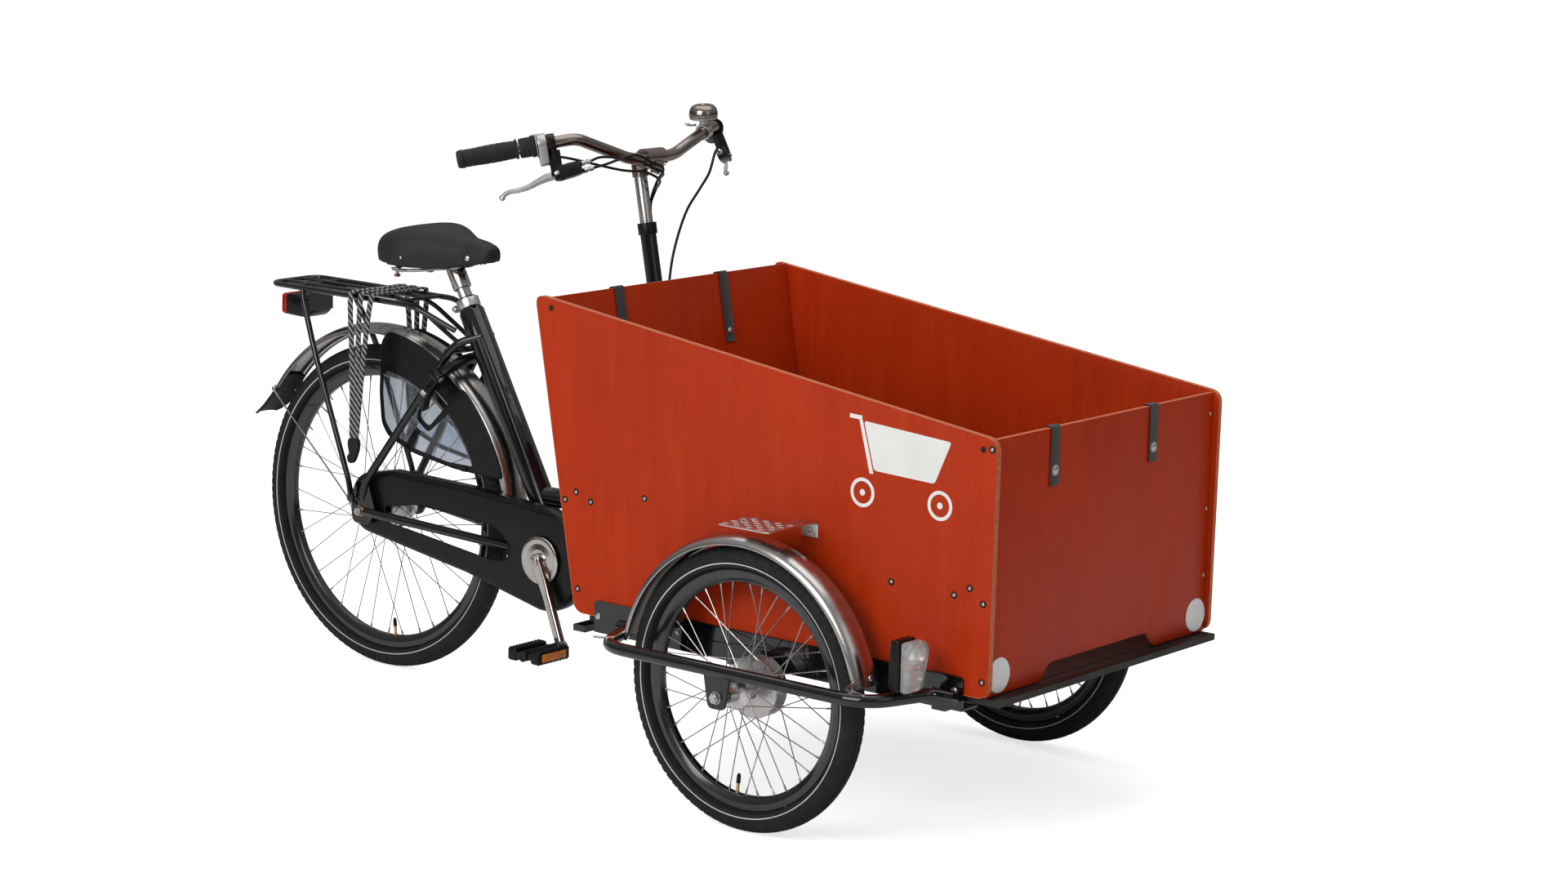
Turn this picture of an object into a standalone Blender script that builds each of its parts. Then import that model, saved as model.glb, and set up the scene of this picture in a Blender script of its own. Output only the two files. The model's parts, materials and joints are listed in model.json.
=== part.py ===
"""Box tricycle: a cargo box on two steered front wheels, pushed by a bicycle rear end.

Metres, +Z up, +X towards the front, +Y to the rider's left. The origin is on the ground,
straight below the rear axle, in the middle plane. The box platform steers on a vertical
kingpin behind the box, and the handlebar column stands on the platform.
"""
import math

import bmesh
import bpy
from mathutils import Vector

# ---------------------------------------------------------------- driving dimensions
GAP = 0.0004                     # clearance between neighbours that touch on the real thing

TYRE_HALF = 0.0235               # half of the tyre's width, all three wheels
REAR_R = 0.325                   # rear wheel, 26 inch
FRONT_R = 0.248                  # front wheels, 20 inch
FRONT_X = 1.266                  # front axle ahead of the rear axle
FRONT_Y = 0.405                  # front wheel's middle plane
TYRE_DEPTH = 0.0391              # tyre height over the rim
RIM_DEPTH = 0.0235
SPOKES_PER_FLANGE = 18
WHEEL_SIDES = 30

BB = Vector((0.475, 0, 0.296))   # bottom bracket
CRANK = 0.170
CRANK_ANGLE = math.radians(-63)  # right crank, from +X towards +Z
CHAIN_Y = -0.047                 # chain line
CHAINRING_R = 0.076
SPROCKET_R = 0.030
DROPOUT_Y = (0.070, 0.076)
REAR_AXLE_R = 0.005

SEAT_TOP = Vector((0.217, 0, 0.762))
SEAT_TUBE_R = 0.025
POST_R = 0.0133

# the saddle's cross-sections, rear to nose: x, half width, low z, high z
SADDLE = [(0.030, 0.046, 0.838, 0.866), (0.044, 0.074, 0.833, 0.880), (0.070, 0.094, 0.828, 0.890),
          (0.102, 0.100, 0.824, 0.897), (0.138, 0.090, 0.822, 0.901), (0.172, 0.070, 0.821, 0.899),
          (0.206, 0.050, 0.824, 0.890), (0.232, 0.037, 0.829, 0.882), (0.260, 0.030, 0.834, 0.878),
          (0.284, 0.024, 0.838, 0.871), (0.294, 0.013, 0.846, 0.862)]

KING_X = 0.62                    # steering axis
HEAD_Z = (0.245, 0.435)
KINGPIN_R = 0.0105

PANEL_Y = 0.339                  # outer face of the box's side panels
PLY = 0.0093
BOX_BOTTOM = 0.2975
BOX_REAR_TOP = (0.710, 0.861)
BOX_FRONT_TOP = (1.724, 0.729)
BOX_FRONT_X = 1.720
BOX_REAR_BOTTOM_X = 0.812
REAR_WALL_INSET = 0.022
FRONT_WALL_INSET = 0.009
FLOOR = (0.8385, 1.735, 0.2845, 0.2968)
FLOOR_REBATE = 0.0010            # the strips under the two end walls lie this much lower
RAIL = (0.862, 1.672, 0.270, 0.328, 0.004)

COLUMN_FOOT = Vector((0.8085, 0, 0.268))
COLUMN_TOP = Vector((0.6745, 0, 0.955))
COLUMN_R = 0.0150
STEM_R = 0.0122
BAR_CLAMP = Vector((0.685, 0, 1.078))
BAR_R = 0.011
BAR_POINTS = [(0.685, 0.062, 1.080), (0.668, 0.190, 1.124), (0.648, 0.222, 1.118),
              (0.533, 0.352, 1.086)]

GUARD_Z = 0.2945
GUARD_R = 0.0115
GUARD_POINTS = [(0.935, 0.3575), (0.962, 0.3575), (1.005, 0.484), (1.580, 0.484), (1.622, 0.3575),
                (1.668, 0.3575)]

TO_BAR = Vector((-0.030, 0, 0.052))   # from a brake lever's pivot to the bar
LEVER_DROP = 0.12                # how far the levers droop below the grips' direction

LOCK_ANGLE = math.radians(54.5)  # where the ring lock sits around the rear wheel
LOCK_R = 0.324                   # its centre from the rear axle
LOCK_RING = 0.077                # its own radius

REAR_AXLE = Vector((0, 0, REAR_R))
SEAT_DIR = (SEAT_TOP - BB).normalized()
COLUMN_DIR = (COLUMN_TOP - COLUMN_FOOT).normalized()
X, Y, Z = Vector((1, 0, 0)), Vector((0, 1, 0)), Vector((0, 0, 1))


# ---------------------------------------------------------------- scene and materials
def clear_scene():
    for obj in list(bpy.data.objects):
        bpy.data.objects.remove(obj)


MATERIALS = {
    "black_paint": ((0.012, 0.012, 0.014), 0.18, 0.0),
    "rubber": ((0.018, 0.018, 0.019), 0.75, 0.0),
    "black_plastic": ((0.020, 0.020, 0.022), 0.45, 0.0),
    "black_alloy": ((0.022, 0.022, 0.024), 0.30, 0.8),
    "chrome": ((0.80, 0.80, 0.82), 0.08, 1.0),
    "stainless": ((0.62, 0.61, 0.60), 0.16, 1.0),
    "alloy": ((0.60, 0.60, 0.62), 0.30, 1.0),
    "nickel": ((0.24, 0.24, 0.26), 0.18, 1.0),
    "steel": ((0.40, 0.40, 0.41), 0.35, 1.0),
    "bronze": ((0.55, 0.36, 0.16), 0.35, 1.0),
    "plywood": ((0.58, 0.090, 0.018), 0.38, 0.0),
    "phenolic_board": ((0.030, 0.026, 0.024), 0.50, 0.0),
    "smoky_plastic": ((0.22, 0.30, 0.46), 0.15, 0.0),
    "elastic": ((0.10, 0.095, 0.09), 0.85, 0.0),
    "saddle_skin": ((0.018, 0.018, 0.019), 0.55, 0.0),
    "lamp_red": ((0.45, 0.015, 0.015), 0.20, 0.0),
}


def material(name):
    mat = bpy.data.materials.get(name)
    if mat is None:
        colour, roughness, metallic = MATERIALS[name]
        mat = bpy.data.materials.new(name)
        mat.use_nodes = True
        shader = mat.node_tree.nodes["Principled BSDF"]
        shader.inputs["Base Color"].default_value = (*colour, 1)
        shader.inputs["Roughness"].default_value = roughness
        shader.inputs["Metallic"].default_value = metallic
    return mat


def add(name, bm, finish, origin=(0, 0, 0)):
    """Turn a mesh in world coordinates into the named object, with its origin where it turns."""
    bmesh.ops.recalc_face_normals(bm, faces=bm.faces[:])
    bmesh.ops.translate(bm, vec=-Vector(origin), verts=bm.verts[:])
    mesh = bpy.data.meshes.new(name)
    bm.to_mesh(mesh)
    bm.free()
    mesh.shade_smooth()
    mesh.set_sharp_from_angle(angle=math.radians(35))
    mesh.materials.append(material(finish))
    obj = bpy.data.objects.new(name, mesh)
    obj.location = origin
    bpy.context.scene.collection.objects.link(obj)
    return obj


# ---------------------------------------------------------------- shape helpers
def combine(operation, base, others):
    """Exact Boolean of meshes. The operands are used up, and one mesh comes back."""
    objects = []
    for bm in [base, *others]:
        bmesh.ops.recalc_face_normals(bm, faces=bm.faces[:])
        mesh = bpy.data.meshes.new("operand")
        bm.to_mesh(mesh)
        bm.free()
        obj = bpy.data.objects.new("operand", mesh)
        bpy.context.scene.collection.objects.link(obj)
        objects.append(obj)
    for other in objects[1:]:
        modifier = objects[0].modifiers.new("combine", "BOOLEAN")
        modifier.operation = operation
        modifier.solver = "EXACT"
        modifier.object = other
    graph = bpy.context.evaluated_depsgraph_get()
    graph.update()
    result = bmesh.new()
    result.from_object(objects[0], graph)
    for obj in objects:
        mesh = obj.data
        bpy.data.objects.remove(obj)
        bpy.data.meshes.remove(mesh)
    bmesh.ops.remove_doubles(result, verts=result.verts[:], dist=1e-6)
    bmesh.ops.dissolve_degenerate(result, edges=result.edges[:], dist=1e-6)
    return result


def fuse(*meshes):
    return combine("UNION", meshes[0], meshes[1:])


def carve(base, *cutters):
    return combine("DIFFERENCE", base, cutters)


def basis(direction):
    """Two unit vectors square to a direction, the same ones for the same direction."""
    direction = Vector(direction).normalized()
    helper = Y if abs(direction.dot(Y)) < 0.9 else Z
    first = direction.cross(helper).normalized()
    return first, direction.cross(first).normalized()


def bridge(bm, loops, closed):
    """Skin a row of equal vertex loops; an open row gets flat ends."""
    count = len(loops[0])
    rows = len(loops) if closed else len(loops) - 1
    for i in range(rows):
        one, two = loops[i], loops[(i + 1) % len(loops)]
        for j in range(count):
            bm.faces.new((one[j], one[(j + 1) % count], two[(j + 1) % count], two[j]))
    if not closed:
        bm.faces.new(loops[0][::-1])
        bm.faces.new(loops[-1])


def rounded(points, radius, steps=4):
    """A polyline with each inner corner replaced by an arc-like curve."""
    points = [Vector(p) for p in points]
    path = [points[0]]
    for before, corner, after in zip(points, points[1:], points[2:]):
        back, ahead = before - corner, after - corner
        reach = min(radius, back.length * 0.45, ahead.length * 0.45)
        start, end = corner + back.normalized() * reach, corner + ahead.normalized() * reach
        for k in range(steps + 1):
            t = k / steps
            path.append(start * (1 - t) ** 2 + corner * 2 * t * (1 - t) + end * t ** 2)
    return path + [points[-1]]


def tube(points, radius, sides=10, bend=0.0, steps=4, closed=False):
    """A round bar along a path; radius is a number or one number for each end."""
    path = rounded(points, bend, steps) if bend else [Vector(p) for p in points]
    ends = radius if isinstance(radius, tuple) else (radius, radius)
    bm = bmesh.new()
    loops = []
    count = len(path)
    first = (path[1] - path[0]).normalized()
    u, v = basis(first)
    for i, point in enumerate(path):
        if closed:
            into, out = point - path[i - 1], path[(i + 1) % count] - point
        else:
            into = point - path[i - 1] if i else path[1] - path[0]
            out = path[i + 1] - point if i < count - 1 else into
        along = (into.normalized() + out.normalized()).normalized()
        u = (u - along * u.dot(along)).normalized()
        v = along.cross(u).normalized()
        stretch = 1 / max(0.5, along.dot(out.normalized()))
        size = ends[0] + (ends[1] - ends[0]) * i / max(1, count - 1)
        side = (out.normalized() - into.normalized())
        side = side.normalized() if side.length > 1e-6 else None
        loop = []
        for k in range(sides):
            a = 2 * math.pi * k / sides
            offset = (u * math.cos(a) + v * math.sin(a)) * size
            if side is not None:
                offset += side * offset.dot(side) * (stretch - 1)
            loop.append(bm.verts.new(point + offset))
        loops.append(loop)
    bridge(bm, loops, closed)
    return bm


def rod(start, end, radius, sides=12):
    return tube([start, end], radius, sides)


def turned(profile, origin, axis, sides=24, phase=0.0):
    """Spin (radius, distance along the axis) points; a profile that starts and ends off the
    axis is closed on itself, so it makes a ring."""
    origin, axis = Vector(origin), Vector(axis).normalized()
    u, v = basis(axis)
    bm = bmesh.new()
    loops = []
    for i in range(sides):
        a = 2 * math.pi * i / sides + phase
        out = u * math.cos(a) + v * math.sin(a)
        loops.append([bm.verts.new(origin + axis * d + out * r) for r, d in profile])
    bridge(bm, loops, True)
    return bm


def ring(inner, outer, low, high, origin, axis, sides=24):
    return turned([(inner, low), (outer, low), (outer, high), (inner, high)], origin, axis, sides)


def prism(outline, low, high, place):
    """Extrude a flat outline between two depths; place(u, v, depth) gives the point."""
    bm = bmesh.new()
    loops = [[bm.verts.new(place(u, v, d)) for u, v in outline] for d in (low, high)]
    bridge(bm, loops, False)
    return bm


def side_plate(outline, low, high):
    """A plate whose outline is in X and Z, between two Y values."""
    return prism(outline, low, high, lambda u, v, d: Vector((u, d, v)))


def block(low, high):
    outline = [(low[0], low[1]), (high[0], low[1]), (high[0], high[1]), (low[0], high[1])]
    return prism(outline, low[2], high[2], lambda u, v, d: Vector((u, v, d)))


def mirrored(bm):
    """The same mesh on the other side of the middle plane."""
    for vert in bm.verts:
        vert.co.y = -vert.co.y
    bmesh.ops.reverse_faces(bm, faces=bm.faces[:])
    return bm


def on_both_sides(make):
    return [make(), mirrored(make())]


def smooth_outline(points, radius, steps=3):
    """A closed 2-D outline with rounded corners."""
    count = len(points)
    outline = []
    for i, corner in enumerate(points):
        before, after = Vector(points[i - 1]), Vector(points[(i + 1) % count])
        corner = Vector(corner)
        back, ahead = before - corner, after - corner
        reach = min(radius, back.length * 0.45, ahead.length * 0.45)
        start, end = corner + back.normalized() * reach, corner + ahead.normalized() * reach
        for k in range(steps + 1):
            t = k / steps
            point = start * (1 - t) ** 2 + corner * 2 * t * (1 - t) + end * t ** 2
            outline.append((point.x, point.y))
    return outline


def shrunk(outline, amount):
    """A closed outline moved inwards by the same amount everywhere."""
    count = len(outline)
    area = sum(outline[i - 1][0] * outline[i][1] - outline[i][0] * outline[i - 1][1] for i in range(count))
    turn = 1 if area > 0 else -1
    result = []
    for i in range(count):
        point = Vector(outline[i])
        one = (point - Vector(outline[i - 1])).normalized()
        two = (Vector(outline[(i + 1) % count]) - point).normalized()
        normal = Vector((-(one.y + two.y), one.x + two.x)).normalized() * turn
        square = Vector((-one.y, one.x)) * turn
        moved = point + normal * amount / max(0.4, normal.dot(square))
        result.append((moved.x, moved.y))
    return result


# ---------------------------------------------------------------- wheels
def tyre(centre, radius):
    """The tread is a narrow flat band whose facets touch the ground."""
    middle, half = radius - TYRE_HALF, TYRE_HALF
    bead = radius - TYRE_DEPTH
    grow = 1 / math.cos(math.pi / WHEEL_SIDES)
    wall = [(half * math.sin(a), (middle + half * math.cos(a)) * grow) for a in
            [math.radians(d) for d in (105, 60)]] + [(0.008, radius * grow)]
    right, left = [(r, -y) for y, r in wall], [(r, y) for y, r in wall[::-1]]
    section = [(bead, -0.0115)] + right + left + [(bead, 0.0115)]
    return turned(section, centre, Y, WHEEL_SIDES)


def rim(centre, radius):
    outer = radius - TYRE_DEPTH - GAP
    inner = outer - RIM_DEPTH
    profile = [(inner, -0.006), (inner + 0.010, -0.0125), (outer, -0.0125),
               (outer, 0.0125), (inner + 0.010, 0.0125), (inner, 0.006)]
    return turned(profile, centre, Y, WHEEL_SIDES)


def laced_hub(centre, profile, flanges, rim_inner, phase, lean):
    """A turned hub whose flange rims carry the spokes, which stop just short of the rim."""
    bm = turned(profile, centre, Y, SPOKES_PER_FLANGE, phase)
    centre = Vector(centre)
    for sign, (radius, low, high) in zip((1, -1), flanges):
        wanted = []
        for face in bm.faces:
            spots = [vert.co - centre for vert in face.verts]
            flat = all(abs(math.hypot(p.x, p.z) - radius) < 1e-5 for p in spots)
            if flat and all(low - 1e-5 < p.y < high + 1e-5 for p in spots):
                wanted.append(face)
        for face in wanted:
            middle = face.calc_center_median() - centre
            angle = math.atan2(middle.z, middle.x) + sign * lean
            tip = centre + Vector((math.cos(angle), 0, math.sin(angle))) * (rim_inner - 0.003)
            tip.y = centre.y + math.copysign(0.003, middle.y)
            spoke(bm, face, Vector((middle.x, 0, middle.z)).normalized(), tip)
    return bm


def spoke(bm, face, out, tip, half=0.0010):
    """Grow a thin bar out of one face of the flange's rim."""
    middle = face.calc_center_median()
    across = Y
    around = out.cross(across).normalized()
    corners = list(face.verts)
    corners.sort(key=lambda v: math.atan2((v.co - middle).dot(across), (v.co - middle).dot(around)))
    signs = [((v.co - middle).dot(around) > 0, (v.co - middle).dot(across) > 0) for v in corners]
    root, end = [], []
    for right, up in signs:
        step = around * (half if right else -half) + across * (half if up else -half)
        root.append(bm.verts.new(middle + step))
        end.append(bm.verts.new(tip + step))
    bmesh.ops.delete(bm, geom=[face], context="FACES_ONLY")
    for i in range(4):
        j = (i + 1) % 4
        bm.faces.new((corners[i], corners[j], root[j], root[i]))
        bm.faces.new((root[i], root[j], end[j], end[i]))
    bm.faces.new(end)


def rear_wheel():
    add("rear_tyre", tyre(REAR_AXLE, REAR_R), "rubber", REAR_AXLE)
    add("rear_rim", rim(REAR_AXLE, REAR_R), "black_alloy", REAR_AXLE)
    bore = REAR_AXLE_R + 0.001
    profile = [(bore, -0.064), (0.014, -0.064), (0.014, -0.036), (0.030, -0.034), (0.043, -0.0315),
               (0.043, -0.0285), (0.036, -0.026), (0.036, 0.024), (0.043, 0.0265), (0.043, 0.0295),
               (0.034, 0.032), (0.034, 0.052), (0.016, 0.056), (0.016, 0.064), (bore, 0.064)]
    flanges = [(0.043, -0.0315, -0.0285), (0.043, 0.0265, 0.0295)]
    inner = REAR_R - TYRE_DEPTH - GAP - RIM_DEPTH
    hub = laced_hub(REAR_AXLE, profile, flanges, inner, math.radians(4.5), math.radians(35))
    add("rear_hub", hub, "alloy", REAR_AXLE)
    sprocket = ring(0.0150, SPROCKET_R, CHAIN_Y - 0.0015, CHAIN_Y + 0.0015, REAR_AXLE, Y, 18)
    add("rear_sprocket", sprocket, "steel", REAR_AXLE)


def front_wheel(side, name):
    centre = Vector((FRONT_X, side * FRONT_Y, FRONT_R))
    add(f"front_tyre_{name}", tyre(centre, FRONT_R), "rubber", centre)
    add(f"front_rim_{name}", rim(centre, FRONT_R), "black_alloy", centre)
    bore = 0.0070
    profile = [(bore, -0.050), (0.050, -0.050), (0.053, -0.046), (0.053, -0.018), (0.049, -0.014),
               (0.020, -0.010), (0.016, 0.024), (0.030, 0.0265), (0.030, 0.0295), (0.014, 0.032),
               (0.014, 0.058), (bore, 0.058)]
    flanges = [(0.053, -0.046, -0.018), (0.030, 0.0265, 0.0295)]
    if side < 0:
        profile = [(r, -d) for r, d in profile[::-1]]
        flanges = [(r, -high, -low) for r, low, high in flanges[::-1]]
    inner = FRONT_R - TYRE_DEPTH - GAP - RIM_DEPTH
    hub = laced_hub(centre, profile, flanges, inner, 0.0, math.radians(30))
    add(f"front_hub_{name}", hub, "alloy", centre)


def front_axle(side, name):
    y0, y1 = 0.3330, 0.4975
    centre = Vector((FRONT_X, 0, FRONT_R))
    profile = [(0.0005, y0), (0.0060, y0), (0.0060, y0 + 0.001), (0.0100, y0 + 0.001), (0.0100, 0.3405),
               (0.0060, 0.3405), (0.0060, 0.4880), (0.0100, 0.4880), (0.0100, y1 - 0.003), (0.0060, y1),
               (0.0005, y1)]
    if side < 0:
        profile = [(r, -d) for r, d in profile[::-1]]
    add(f"front_axle_{name}", turned(profile, centre, Y, 12), "steel", (FRONT_X, side * FRONT_Y, FRONT_R))


# ---------------------------------------------------------------- rear frame
def seat_point(distance):
    """A point on the seat tube's centre line, measured up from the bottom bracket."""
    return BB + SEAT_DIR * distance


def main_frame():
    seat_len = (SEAT_TOP - BB).length
    pieces = [
        rod(BB - Y * 0.034, BB + Y * 0.034, 0.0215, 16),
        rod(seat_point(0.004), seat_point(seat_len - 0.018), SEAT_TUBE_R, 16),
        rod(seat_point(seat_len - 0.030), seat_point(seat_len + 0.006), 0.0172, 16),
        rod((KING_X, 0, HEAD_Z[0]), (KING_X, 0, HEAD_Z[1]), 0.027, 16),
        rod((0.418, 0, 0.405), (KING_X, 0, 0.4085), 0.0190, 12),
        rod(BB, (KING_X, 0, 0.268), 0.0170, 12),
        side_plate([(0.452, 0.372), (0.475, 0.330), (0.560, 0.300), (0.575, 0.392)], -0.004, 0.004),
    ]
    for side in (-1, 1):
        chainstay = [(0.462, side * 0.029, 0.2985), (0.400, side * 0.034, 0.3005),
                     (0.055, side * 0.0760, 0.3240), (0.012, side * 0.0745, 0.3255)]
        seatstay = [(0.268, side * 0.012, 0.699), (0.224, side * 0.042, 0.683),
                    (0.014, side * 0.0765, 0.385), (0.003, side * 0.0742, 0.350)]
        pieces += [tube(chainstay, 0.009, 8, 0.03, 2), tube(seatstay, 0.008, 8, 0.03, 2)]
        outline = smooth_outline([(-0.030, 0.350), (-0.022, 0.300), (0.022, 0.298), (0.040, 0.330),
                                  (0.018, 0.392), (-0.014, 0.380)], 0.010, 2)
        low, high = sorted(side * y for y in DROPOUT_Y)
        pieces.append(side_plate(outline, low, high))
    pieces.append(rod((0.396, -0.034, 0.3008), (0.396, 0.034, 0.3008), 0.0065, 8))
    frame = fuse(*pieces)
    bores = [
        rod(BB - Y * 0.05, BB + Y * 0.05, 0.0177, 16),
        rod(seat_point(0.27), seat_point(seat_len + 0.02), POST_R + GAP, 16),
        rod((KING_X, 0, HEAD_Z[0] - 0.01), (KING_X, 0, HEAD_Z[1] + 0.01), 0.0187, 16),
        rod(REAR_AXLE - Y * 0.1, REAR_AXLE + Y * 0.1, REAR_AXLE_R + 0.0006, 12),
    ]
    add("main_frame", carve(frame, *bores), "black_paint")
    add("head_bush", ring(KINGPIN_R + 0.0008, 0.0181, HEAD_Z[0] + 0.0003, HEAD_Z[1] - 0.0003,
                          (KING_X, 0, 0), Z, 16), "bronze")
    add("bottom_bracket", turned([(0.0096, -0.0365), (0.0168, -0.0365), (0.0168, 0.0365), (0.0096, 0.0365)],
                                 BB, Y, 16), "steel")
    clamp_low = seat_len - 0.0165
    add("seat_clamp", ring(0.0178, 0.0235, clamp_low, clamp_low + 0.020, BB, SEAT_DIR, 20), "alloy")


def rear_axle():
    profile = [(0.0004, -0.090), (REAR_AXLE_R, -0.090), (REAR_AXLE_R, -0.0845), (0.0090, -0.0845),
               (0.0090, -0.0765), (REAR_AXLE_R, -0.0765), (REAR_AXLE_R, 0.0765), (0.0090, 0.0765),
               (0.0090, 0.0845), (REAR_AXLE_R, 0.0845), (REAR_AXLE_R, 0.090), (0.0004, 0.090)]
    add("rear_axle", turned(profile, REAR_AXLE, Y, 12), "steel")


def chain_case_outline():
    """Round ends about the bottom bracket and the rear axle, joined by nearly straight edges."""
    front = [(BB.x + 0.101 * math.cos(a), BB.z + 0.101 * math.sin(a)) for a in
             [math.radians(d) for d in (96, 62, 30, 0, -30, -62, -98)]]
    rear = [(0.008 + 0.054 * math.cos(a), 0.340 + 0.061 * math.sin(a)) for a in
            [math.radians(d) for d in (-98, -125, -150, -180, -210, -240, -268)]]
    return front + [(0.274, 0.238)] + rear + [(0.070, 0.414), (0.273, 0.410)]


def chain_case():
    outline = chain_case_outline()
    outer = side_plate(outline, -0.062, -0.036)
    hollow = side_plate(shrunk(outline, 0.0016), -0.0604, -0.030)
    slot = smooth_outline([(0.055, 0.338), (0.055, 0.312), (0.140, 0.302), (0.339, 0.279), (0.384, 0.281),
                           (0.389, 0.315), (0.339, 0.345), (0.140, 0.353)], 0.008, 2)
    crank_hole = rod(BB - Y * 0.08, BB - Y * 0.05, 0.040, 20)
    axle_hole = rod(REAR_AXLE - Y * 0.08, REAR_AXLE - Y * 0.05, 0.016, 12)
    case = carve(outer, hollow, side_plate(slot, -0.08, -0.05), crank_hole, axle_hole)
    add("chain_case", case, "black_plastic")


def belt(front, front_r, rear, rear_r, half_width, thick, y):
    """A closed chain loop round two wheels, as one band."""
    path = []
    for centre, radius, start, end in ((front, front_r, -96, 96), (rear, rear_r, 96, 264)):
        for k in range(11):
            a = math.radians(start + (end - start) * k / 10)
            path.append((centre, radius, a))
    bm = bmesh.new()
    loops = []
    for centre, radius, a in path:
        out = Vector((math.cos(a), 0, math.sin(a)))
        base = Vector((centre.x, y, centre.z))
        loops.append([bm.verts.new(base + out * r + Y * d) for r, d in
                      ((radius, -half_width), (radius + thick, -half_width),
                       (radius + thick, half_width), (radius, half_width))])
    bridge(bm, loops, True)
    return bm


def drive():
    loop = belt(BB, CHAINRING_R + 0.0012, REAR_AXLE, SPROCKET_R + 0.0012, 0.0042, 0.0060, CHAIN_Y)
    add("chain", loop, "steel")
    chainring = ring(0.0136, CHAINRING_R, CHAIN_Y - 0.0015, CHAIN_Y + 0.0015, BB, Y, 24)
    add("chainring", chainring, "steel", BB)
    reach = Vector((math.cos(CRANK_ANGLE), 0, math.sin(CRANK_ANGLE)))
    for side, name, arm_dir in ((-1, "right", reach), (1, "left", -reach)):
        tip = BB + arm_dir * CRANK
        root_y, tip_y = side * 0.0755, side * 0.0900
        arm = tube([BB + Y * root_y - arm_dir * 0.006, BB + Y * root_y + arm_dir * 0.045,
                    tip + Y * tip_y + arm_dir * 0.004], (0.0125, 0.0085), 8, 0.04, 3)
        eye = rod(tip + Y * (tip_y - 0.008), tip + Y * (tip_y + 0.008), 0.0120, 12)
        if side < 0:
            boss = rod(BB - Y * 0.0385, BB - Y * 0.0830, 0.0132, 16)
            disc = rod(BB - Y * 0.0655, BB - Y * 0.0690, 0.0460, 20)
            body = fuse(arm, eye, boss, disc)
            bores = [rod(BB - Y * 0.03, BB - Y * 0.0725, 0.0089, 12)]
        else:
            spindle = rod(BB - Y * 0.0715, BB + Y * 0.0780, 0.0085, 12)
            boss = rod(BB + Y * 0.0385, BB + Y * 0.0830, 0.0132, 16)
            body = fuse(arm, eye, spindle, boss)
            bores = []
        bores.append(rod(tip + Y * (tip_y - 0.02), tip + Y * (tip_y + 0.02), 0.0052, 12))
        add(f"crank_{name}", carve(body, *bores), "chrome", BB)
        pedal(side, name, tip)


def pedal(side, name, tip):
    spindle = rod(tip + Y * side * 0.0830, tip + Y * side * 0.1960, 0.0046, 10)
    collar = rod(tip + Y * side * 0.1010, tip + Y * side * 0.1080, 0.0090, 10)
    y0, y1 = 0.1060, 0.1970
    half, rise = 0.040, 0.0125
    frame = []
    for dx in (-half + 0.007, half - 0.007):
        low = (tip.x + dx - 0.007, min(side * y0, side * y1), tip.z - rise)
        high = (tip.x + dx + 0.007, max(side * y0, side * y1), tip.z + rise)
        frame.append(block(low, high))
    for ya, yb in ((y0, y0 + 0.012), (y1 - 0.012, y1)):
        low = (tip.x - half + 0.003, min(side * ya, side * yb), tip.z - rise + 0.002)
        high = (tip.x + half - 0.003, max(side * ya, side * yb), tip.z + rise - 0.002)
        frame.append(block(low, high))
    core = rod(tip + Y * side * (y0 + 0.002), tip + Y * side * (y1 - 0.002), 0.0110, 10)
    add(f"pedal_{name}", fuse(core, spindle, collar, *frame), "black_plastic", tip)


def arc_shell(centre, radius, half, start, end, steps):
    """A mudguard: a thin crowned section swept round a wheel."""
    crown = 0.016
    spots = [(-1.0, 0.0), (-0.75, 0.62), (-0.28, 0.97), (0.28, 0.97), (0.75, 0.62), (1.0, 0.0)]
    outer = [(half * u, radius - crown + crown * h) for u, h in spots]
    inner = [((half - 0.0012) * u, radius - crown + (crown - 0.0012) * h) for u, h in spots]
    section = outer + inner[::-1]
    bm = bmesh.new()
    loops = []
    for i in range(steps + 1):
        a = math.radians(start + (end - start) * i / steps)
        out = Vector((math.cos(a), 0, math.sin(a)))
        loops.append([bm.verts.new(Vector(centre) + out * r + Y * y) for y, r in section])
    bridge(bm, loops, False)
    return bm


def rear_mudguard():
    shell = arc_shell(REAR_AXLE, 0.368, 0.031, 6, 147, 15)
    stays = []
    back = Vector((math.cos(math.radians(144)), 0, math.sin(math.radians(144))))
    for side in (-1, 1):
        path = [REAR_AXLE + back * 0.364 + Y * side * 0.020, REAR_AXLE + back * 0.350 + Y * side * 0.036,
                Vector((-0.020, side * 0.0800, 0.337))]
        stays.append(tube(path, 0.0021, 6, 0.006, 2))
    add("rear_mudguard", fuse(shell, *stays), "stainless")


def rear_rack():
    def leg():
        return tube([(-0.176, 0.0640, 0.7520), (-0.166, 0.0700, 0.7260), (-0.119, 0.0855, 0.6310),
                     (-0.019, 0.0890, 0.3830), (-0.014, 0.0890, 0.3520)], 0.0050, 7, 0.02, 1)

    half = [Vector(p) for p in ((0.208, 0.030, 0.7125), (0.132, 0.064, 0.7500), (-0.268, 0.064, 0.7525))]
    rail = [Vector((p.x, -p.y, p.z)) for p in half] + half[::-1]
    pieces = [tube(rail, 0.005, 8, 0.022, 3)] + on_both_sides(leg)
    for x in (-0.205, -0.060, 0.085):
        pieces.append(rod((x, -0.0635, 0.7507), (x, 0.0635, 0.7507), 0.0040, 6))
    for y in (-0.022, 0.022):
        inner = [(-0.2685, y, 0.7522), (0.085, y, 0.7518), (0.166, y, 0.7065)]
        pieces.append(tube(inner, 0.0041, 7, 0.03, 2))
    add("rear_rack", fuse(*pieces), "black_paint")
    lamp = smooth_outline([(-0.272, 0.686), (-0.205, 0.684), (-0.186, 0.700), (-0.190, 0.722),
                           (-0.268, 0.729)], 0.008, 2)
    add("rear_light", side_plate(lamp, -0.032, 0.032), "lamp_red")


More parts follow.
